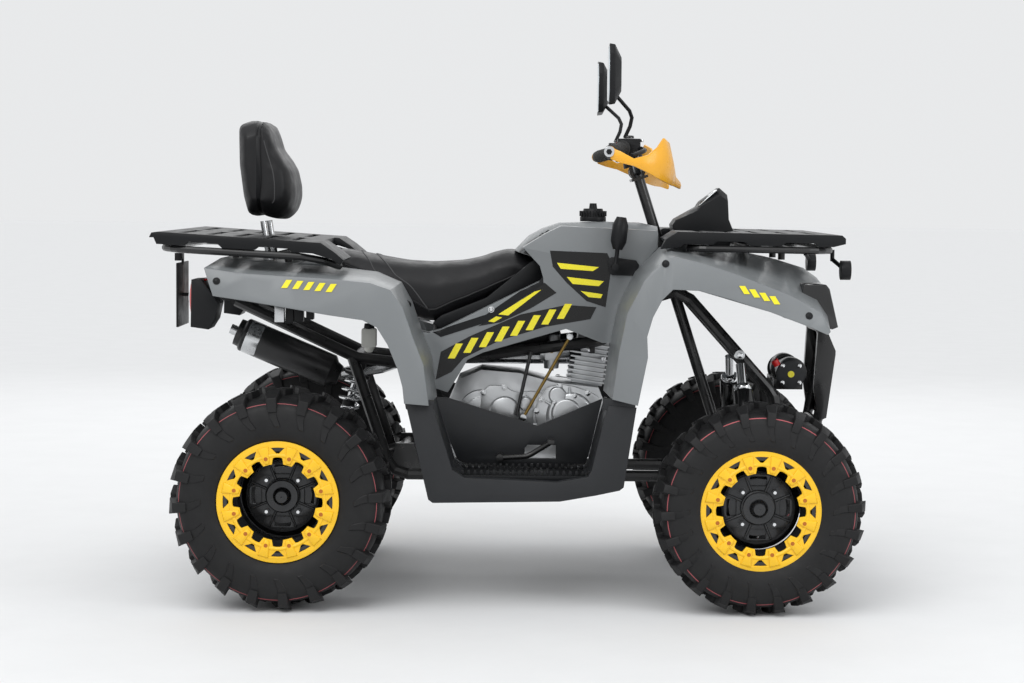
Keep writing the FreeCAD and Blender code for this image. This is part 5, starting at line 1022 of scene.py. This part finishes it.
def build_rear_boxes():
    """Relay boxes and the fluid bottle under the rear fender."""
    def box(kit, spot, ahead, y_ends, up):
        x, z = spot
        kit.brick((x + ahead[0], y_ends[0], z + up[0]), (x + ahead[1], y_ends[1], z + up[1]))
    silver, black, bottle, cap = Kit(), Kit(), Kit(), Kit()
    box(silver, seen_at(280, 315, -0.24), (-0.012, 0.012), (-0.270, -0.225), (-0.022, 0.024))
    silver.show("relay_silver", STEEL, bevel=0.0015)
    for px, wide, tall in ((290, 0.010, 0.025), (299, 0.011, 0.021), (310, 0.009, 0.015)):
        box(black, seen_at(px, 315, -0.24), (-wide, wide), (-0.264, -0.226), (-tall, tall))
    shelf = seen_at(296, 306, -0.24)
    box(black, shelf, (-0.050, 0.046), (-0.246, -0.226), (-0.004, 0.006))
    box(black, shelf, (-0.006, 0.012), (-0.246, -0.226), (0.0, 0.070))
    black.show("relay_boxes", BLACK, bevel=0.0015)
    place = seen_at(369, 338, -0.20)
    x, z = place
    box(bottle, place, (-0.019, 0.019), (-0.222, -0.190), (-0.026, 0.022))
    bottle.drum((x, -0.206, z - 0.040), (x, -0.206, z - 0.024), 0.009, 0.014, 28)
    bottle.show("fluid_bottle", BOTTLE, bevel=0.005)
    cap.drum((x, -0.206, z + 0.020), (x, -0.206, z + 0.034), 0.014, 0.012)
    box(cap, place, (-0.008, 0.008), (-0.206, -0.150), (0.012, 0.018))
    cap.show("bottle_cap", BLACK, bevel=0.0012)


def build_silencer():
    """Dark can with a bright band and a stepped tail."""
    low, high = at(-0.4620, 0.088, 0.5350), at(-0.7000, 0.088, 0.6350)
    way, end = (high - low).normalized(), (high - low).length
    can, band = Kit(), Kit()
    can.lathe([(0.0, -0.022), (0.026, -0.022), (0.032, -0.006), (0.040, 0.0), (0.0455, 0.006),
               (0.0455, end - 0.052), (0.0445, end - 0.050), (0.0, end - 0.050)], low, way, sides=72)
    can.lathe([(0.0, end - 0.012), (0.0450, end - 0.012), (0.0455, end - 0.010), (0.0455, end - 0.004),
               (0.042, end), (0.037, end + 0.002), (0.036, end + 0.016), (0.0, end + 0.016)],
              low, way, sides=72)
    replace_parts(can.show("silencer_can", CAN), "muffler")
    band.lathe([(0.0, end - 0.050), (0.0458, end - 0.050), (0.0460, end - 0.048), (0.0460, end - 0.014),
                (0.0458, end - 0.012), (0.0, end - 0.012)], low, way, sides=72)
    band.lathe([(0.0, end + 0.016), (0.0136, end + 0.016), (0.0136, end + 0.036), (0.0110, end + 0.036),
                (0.0110, end + 0.020), (0.0, end + 0.020)], low, way, sides=40)
    band.show("silencer_band", STEEL)


SEAT_PAN = [(432, 324), (441, 331), (488, 313), (541, 280), (546, 268), (541, 258), (530, 262), (486, 298),
            (441, 316)]
LEG_JOINTS = ([(604, 398), (637, 402), (636, 412), (604, 410)],
              [(404, 400), (434, 402), (434, 411), (406, 411)])


def build_fillers():
    """Seat pan under the cushion, and the joints between fenders and footwells."""
    Kit().prism(seen_outline(SEAT_PAN, -0.14), -0.140, 0.140).show("seat_pan", BLACK, bevel=0.003)
    joints = Kit()
    for outline in LEG_JOINTS:
        for hand, _ in SIDES:
            joints.prism(seen_outline(outline, -0.45), hand * 0.452, hand * 0.428)
    joints.show("leg_joints", SHADOW_GREY, bevel=0.002)


def build_floor_strips():
    """Toothed strip along each footwell floor."""
    for hand, side in SIDES:
        inner, outer = sorted((hand * 0.285, hand * 0.425))
        strip = Kit().prism([(-0.125, 0.318), (0.222, 0.318), (0.222, 0.329), (-0.125, 0.329)], inner, outer)
        for index in range(22):
            x = -0.121 + index * 0.0155
            tooth = [(x, 0.329), (x + 0.011, 0.329), (x + 0.0085, 0.3415), (x + 0.0025, 0.3415)]
            strip.prism(tooth, inner, inner + 0.012).prism(tooth, outer - 0.012, outer)
        strip.show("floor_strip_" + side, BLACK, smooth=30, bevel=0.0008)


# Tie rods: the steering's loop is opened at the pitman pins, so each pin slides in a slotted end
SLOT_CENTRE, SLOT_SHIFT = (0.53396, 0.030, 0.25508), (0.0031, -0.0036)
ROD_START, ROD_END = (0.53586, 0.28584, 0.23913), (0.53410, 0.0405, 0.25440)
BOOT = [(0.0, -0.0046), (0.0052, -0.0046), (0.0052, 0.0), (0.0117, 0.0), (0.0117, 0.003), (0.0102, 0.0050),
        (0.0114, 0.0070), (0.0098, 0.0090), (0.0110, 0.0110), (0.0092, 0.0130), (0.0104, 0.0150),
        (0.0086, 0.0170), (0.0092, 0.0195), (0.0, 0.0195)]


def slot_outline(half_length, half_width, steps=14):
    """Rounded slot, counted from its middle."""
    ring = []
    for end, start in ((1, -math.pi / 2), (-1, math.pi / 2)):
        for index in range(steps + 1):
            a, b = polar(half_width, start + math.pi * index / steps)
            ring.append((end * (half_length - half_width) + a, b))
    return ring


def build_tie_rods():
    """Bars with a slotted inner end, a lock nut and a rubber boot."""
    outer, inner = slot_outline(0.0375, 0.0170), slot_outline(0.0320, 0.0115)
    for hand, side in SIDES:
        middle = handed(SLOT_CENTRE, hand) + COLUMN_AHEAD * SLOT_SHIFT[0] + at(0, hand * SLOT_SHIFT[1], 0)
        rings = [[middle + COLUMN_AHEAD * a + at(0, hand * b, 0) + COLUMN_UP * lift for a, b in ring]
                 for ring, lift in ((outer, 0.006), (inner, 0.006), (inner, -0.006), (outer, -0.006))]
        start, stop = handed(ROD_START, hand), handed(ROD_END, hand)
        way = (stop - start).normalized()
        bar = Kit().add(*skin_of(rings, closed=True)).drum(start, stop, 0.007)
        bar.drum(stop - way * 0.0165, stop - way * 0.0045, 0.0105, sides=6)
        body = "tie_rod_%s_body" % side
        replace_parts(bar.show("tie_rod_bar_" + side, STEEL, body, smooth=38, bevel=0.0006), "tie_rod_" + side)
        Kit().lathe(BOOT, start, way, sides=40).show("tie_rod_boot_" + side, RUBBER, body, smooth=60)


for build in (build_grips, build_mirror_glass, build_switches, build_bar_centre, build_rear_shock,
              build_front_shocks, build_engine_side, build_head_bolts, build_carburettor, build_rods,
              build_winch, build_rear_boxes, build_silencer, build_fillers, build_floor_strips,
              build_tie_rods):
    build()


# Body: stripes, screws, lenses and small fittings, with outlines in photograph places
def slanted(px, py, width, height, lean):
    """Leaning bar."""
    return [(px, py), (px + width, py), (px + width - lean, py + height), (px - lean, py + height)]


PANEL_BASE = (
    [(436, 380), (441, 352), (470, 336), (520, 314), (566, 304), (596, 306), (590, 318), (545, 326),
     (500, 340), (464, 358), (452, 372)],
    [(549, 250), (606, 252), (611, 262), (605, 306), (586, 300), (566, 282), (552, 266)],
    [(478, 326), (520, 300), (544, 282), (556, 292), (530, 308), (500, 322)])
PANEL_BARS = [slanted(456 + 15.5 * k, 343.5 - 5.8 * k, 7, 15, 8) for k in range(8)] + [
    [(556, 262), (598, 266), (592, 270), (560, 268)], [(566, 276), (603, 280), (598, 285), (572, 283)],
    [(580, 290), (602, 293), (600, 297), (588, 296)], [(498, 314), (534, 291), (541, 289), (508, 315)],
    [(488, 321), (496, 316), (502, 317), (494, 322)]]
REAR_BARS = [slanted(288 + 11 * k, 281 + 0.9 * k, 6, 8, 5) for k in range(5)]
FRONT_BARS = [slanted(736 + 10 * k, 283 + 3.3 * k, 6, 8, -5) for k in range(4)]
SEAT_STRIP = [(424, 318), (441, 329), (486, 314), (540, 276), (543, 283), (489, 321), (441, 337), (424, 326)]
TANK_TAIL = [(514, 250), (526, 238), (541, 229), (548, 230), (543, 240), (549, 251), (541, 262), (532, 256)]


def build_stripes():
    for hand, side in SIDES:
        for name, node, outlines, y, look, lift in (
                ("stripe_base", "side_panels", PANEL_BASE, -0.19, DECAL_BLACK, 0.0006),
                ("stripe_bar", "side_panels", PANEL_BARS, -0.19, DECAL_YELLOW, 0.0012),
                ("rear_bar", "rear_fender", REAR_BARS, -0.42, DECAL_YELLOW, 0.0016),
                ("front_bar", "front_fender", FRONT_BARS, -0.42, DECAL_YELLOW, 0.0016)):
            for index, outline in enumerate(outlines):
                decal("%s_%s_%d" % (name, side, index), node, seen_outline(outline, y), hand, look, lift)


def build_seat_trim():
    """Dark strip under the seat edge with its small latch, and the fenders' screws."""
    for hand, side in SIDES:
        decal("seat_trim_" + side, "side_panels", seen_outline(SEAT_STRIP, -0.18), hand, BLACK, 0.0009)
        screws, latch = Kit(), Kit()
        for px, py, node, y in ((218, 283, "rear_fender", -0.44), (421, 300, "rear_fender", -0.44),
                                (664, 262, "front_fender", -0.44), (806, 312, "front_fender", -0.42)):
            screw(screws, node, px, py, y, hand)
        screws.show("fender_screws_" + side, BLACK, smooth=50)
        screw(latch, "side_panels", 491, 309, -0.18, hand, size=0.006)
        latch.show("seat_latch_" + side, CHROME, smooth=50)


def end_lens(name, node_name, way, centre, half, bulge, look, rows=10):
    """Bulged lens laid on the front (way 1) or rear (way -1) face of a node."""
    points, faces, wide = [], [], rows + 1
    for j in range(wide):
        for i in range(wide):
            u, v = 2 * i / rows - 1, 2 * j / rows - 1
            a, b = u * math.sqrt(1 - v * v / 2), v * math.sqrt(1 - u * u / 2)
            y, z = centre[0] + a * half[0], centre[1] + b * half[1]
            spot, _ = cast_on(node_name, at(way * 3.0, y, z), at(-way, 0, 0), at(centre[0], y, z))
            points.append((spot.x + way * (0.0004 + bulge * max(0.0, 1 - a * a - b * b) ** 0.5), y, z))
    for j in range(rows):
        for i in range(rows):
            faces.append((j * wide + i, j * wide + i + 1, (j + 1) * wide + i + 1, (j + 1) * wide + i))
    back = [(x - way * 0.006, y, z) for x, y, z in points]
    faces += [tuple(reversed([wide * wide + i for i in face])) for face in faces]
    rim = list(range(wide)) + [j * wide + rows for j in range(1, wide)]
    rim += [rows * wide + i for i in range(rows - 1, -1, -1)] + [j * wide for j in range(rows - 1, 0, -1)]
    for here, ahead in zip(rim, rim[1:] + rim[:1]):
        faces.append((ahead, here, here + wide * wide, ahead + wide * wide))
    piece(name, points + back, faces, look, "chassis", smooth=40)


def build_lenses():
    for hand, side in SIDES:
        tail, head = (hand * 0.300, 0.752), (hand * 0.270, 0.748)
        end_lens("tail_lens_" + side, "tail_lamps", -1, tail, (0.036, 0.050), 0.010, RED)
        end_lens("brake_lens_" + side, "tail_lamps", -1, tail, (0.018, 0.030), 0.0135, CHROME)
        end_lens("head_lens_" + side, "headlamps", 1, head, (0.085, 0.030), 0.004, CLEAR)
    softened("indicators", BLACK, 0.0015, (lambda middle: middle.x > 0.8485 or middle.x < -0.768, AMBER))


def build_fuel_cap():
    knob = Kit().drum((0.228, 0, 0.9775), (0.228, 0, 0.992), 0.011, 0.009, 24)
    for turn in turns(24):
        x, y = polar(0.0335, turn)
        knob.drum((0.228 + x, y, 0.958), (0.228 + x, y, 0.972), 0.0022, sides=8)
    knob.show("fuel_cap_ribs", BLACK, smooth=50)


def build_tank_tail():
    """Dark fairing between the seat and the tank."""
    for hand, side in SIDES:
        decal("tank_tail_" + side, "tank_cover", seen_outline(TANK_TAIL, -0.11), hand, SHADOW_GREY, 0.0014)


def build_dash():
    """Pale tilted face with its dark screen on the rider's side of the pod."""
    low, high = at(0.502, 0, 0.9875), at(0.548, 0, 1.0285)
    way = (high - low).normalized()
    out = at(-way.z, 0, way.x)
    for name, look, half, start, end, deep in (("dash_frame", CLEAR, 0.052, 0.0, 1.0, 0.0025),
                                               ("dash_screen", SCREEN, 0.040, 0.14, 0.86, 0.0036)):
        a, b = low.lerp(high, start), low.lerp(high, end)
        face = [(spot.x, spot.z) for spot in (a, b, b + out * deep, a + out * deep)]
        Kit().prism(face, -half, half).show(name, look, bevel=0.001)


build_stripes()
build_seat_trim()
build_lenses()
build_fuel_cap()
build_tank_tail()
build_dash()


# Stage, light and camera
def staged(name, data):
    """An object of the stage, not of the part."""
    holder = bpy.data.objects.new(name, data)
    scene.collection.objects.link(holder)
    return holder


def light(name, where, towards, size, power, color=(1, 1, 1)):
    lamp = bpy.data.lights.new(name, "AREA")
    lamp.shape = "RECTANGLE"
    lamp.size, lamp.size_y = size
    lamp.energy, lamp.color = power, color
    holder = staged(name, lamp)
    holder.location = where
    holder.rotation_euler = (Vector(towards) - Vector(where)).to_track_quat("-Z", "Y").to_euler()


def set_stage():
    """Pale floor, three soft lamps, a wide sun and an even sky."""
    pale = finish_of("studio_floor", (0.73, 0.735, 0.74), 0.8, drift=0.01)
    floor = bpy.data.meshes.new("floor")
    floor.from_pydata([(-60, -60, 0), (60, -60, 0), (60, 60, 0), (-60, 60, 0)], [], [(0, 1, 2, 3)])
    floor.materials.append(pale)
    staged("floor", floor)
    light("key", (-2.2, -4.6, 4.2), (0, 0, 0.5), (3.0, 2.0), 70)
    light("side", (3.8, -3.0, 2.2), (0.2, 0, 0.5), (1.6, 2.2), 40, (0.97, 0.985, 1.0))
    light("back", (0, 5.0, 3.2), (0, 0, 0.8), (5.0, 2.0), 40)
    sky = bpy.data.lights.new("soft_sun", "SUN")
    sky.energy, sky.angle = 1.0, math.radians(55)
    staged("soft_sun", sky).rotation_euler = (math.radians(28), math.radians(-12), 0)
    world = bpy.data.worlds.new("studio")
    scene.world = world
    world.use_nodes = True
    background = world.node_tree.nodes["Background"].inputs
    background["Color"].default_value = (0.90, 0.91, 0.92, 1)
    background["Strength"].default_value = 0.90
    scene.view_settings.view_transform = "Standard"


def set_camera():
    """Camera where the photograph was taken from, in the photograph's size."""
    data = bpy.data.cameras.new("photo_camera")
    data.lens, data.sensor_width = 74.3, 36.0
    holder = bpy.data.objects.new("photo_camera", data)
    scene.collection.objects.link(holder)
    turn = Matrix.Rotation(math.radians(90 - 4.05), 3, "X") @ Matrix.Rotation(math.radians(0.5), 3, "Z")
    holder.location, holder.rotation_euler = (0.0185, -5.55, 1.02), turn.to_euler()
    scene.camera = holder
    scene.render.resolution_x, scene.render.resolution_y = 1024, 683


set_stage()
set_camera()
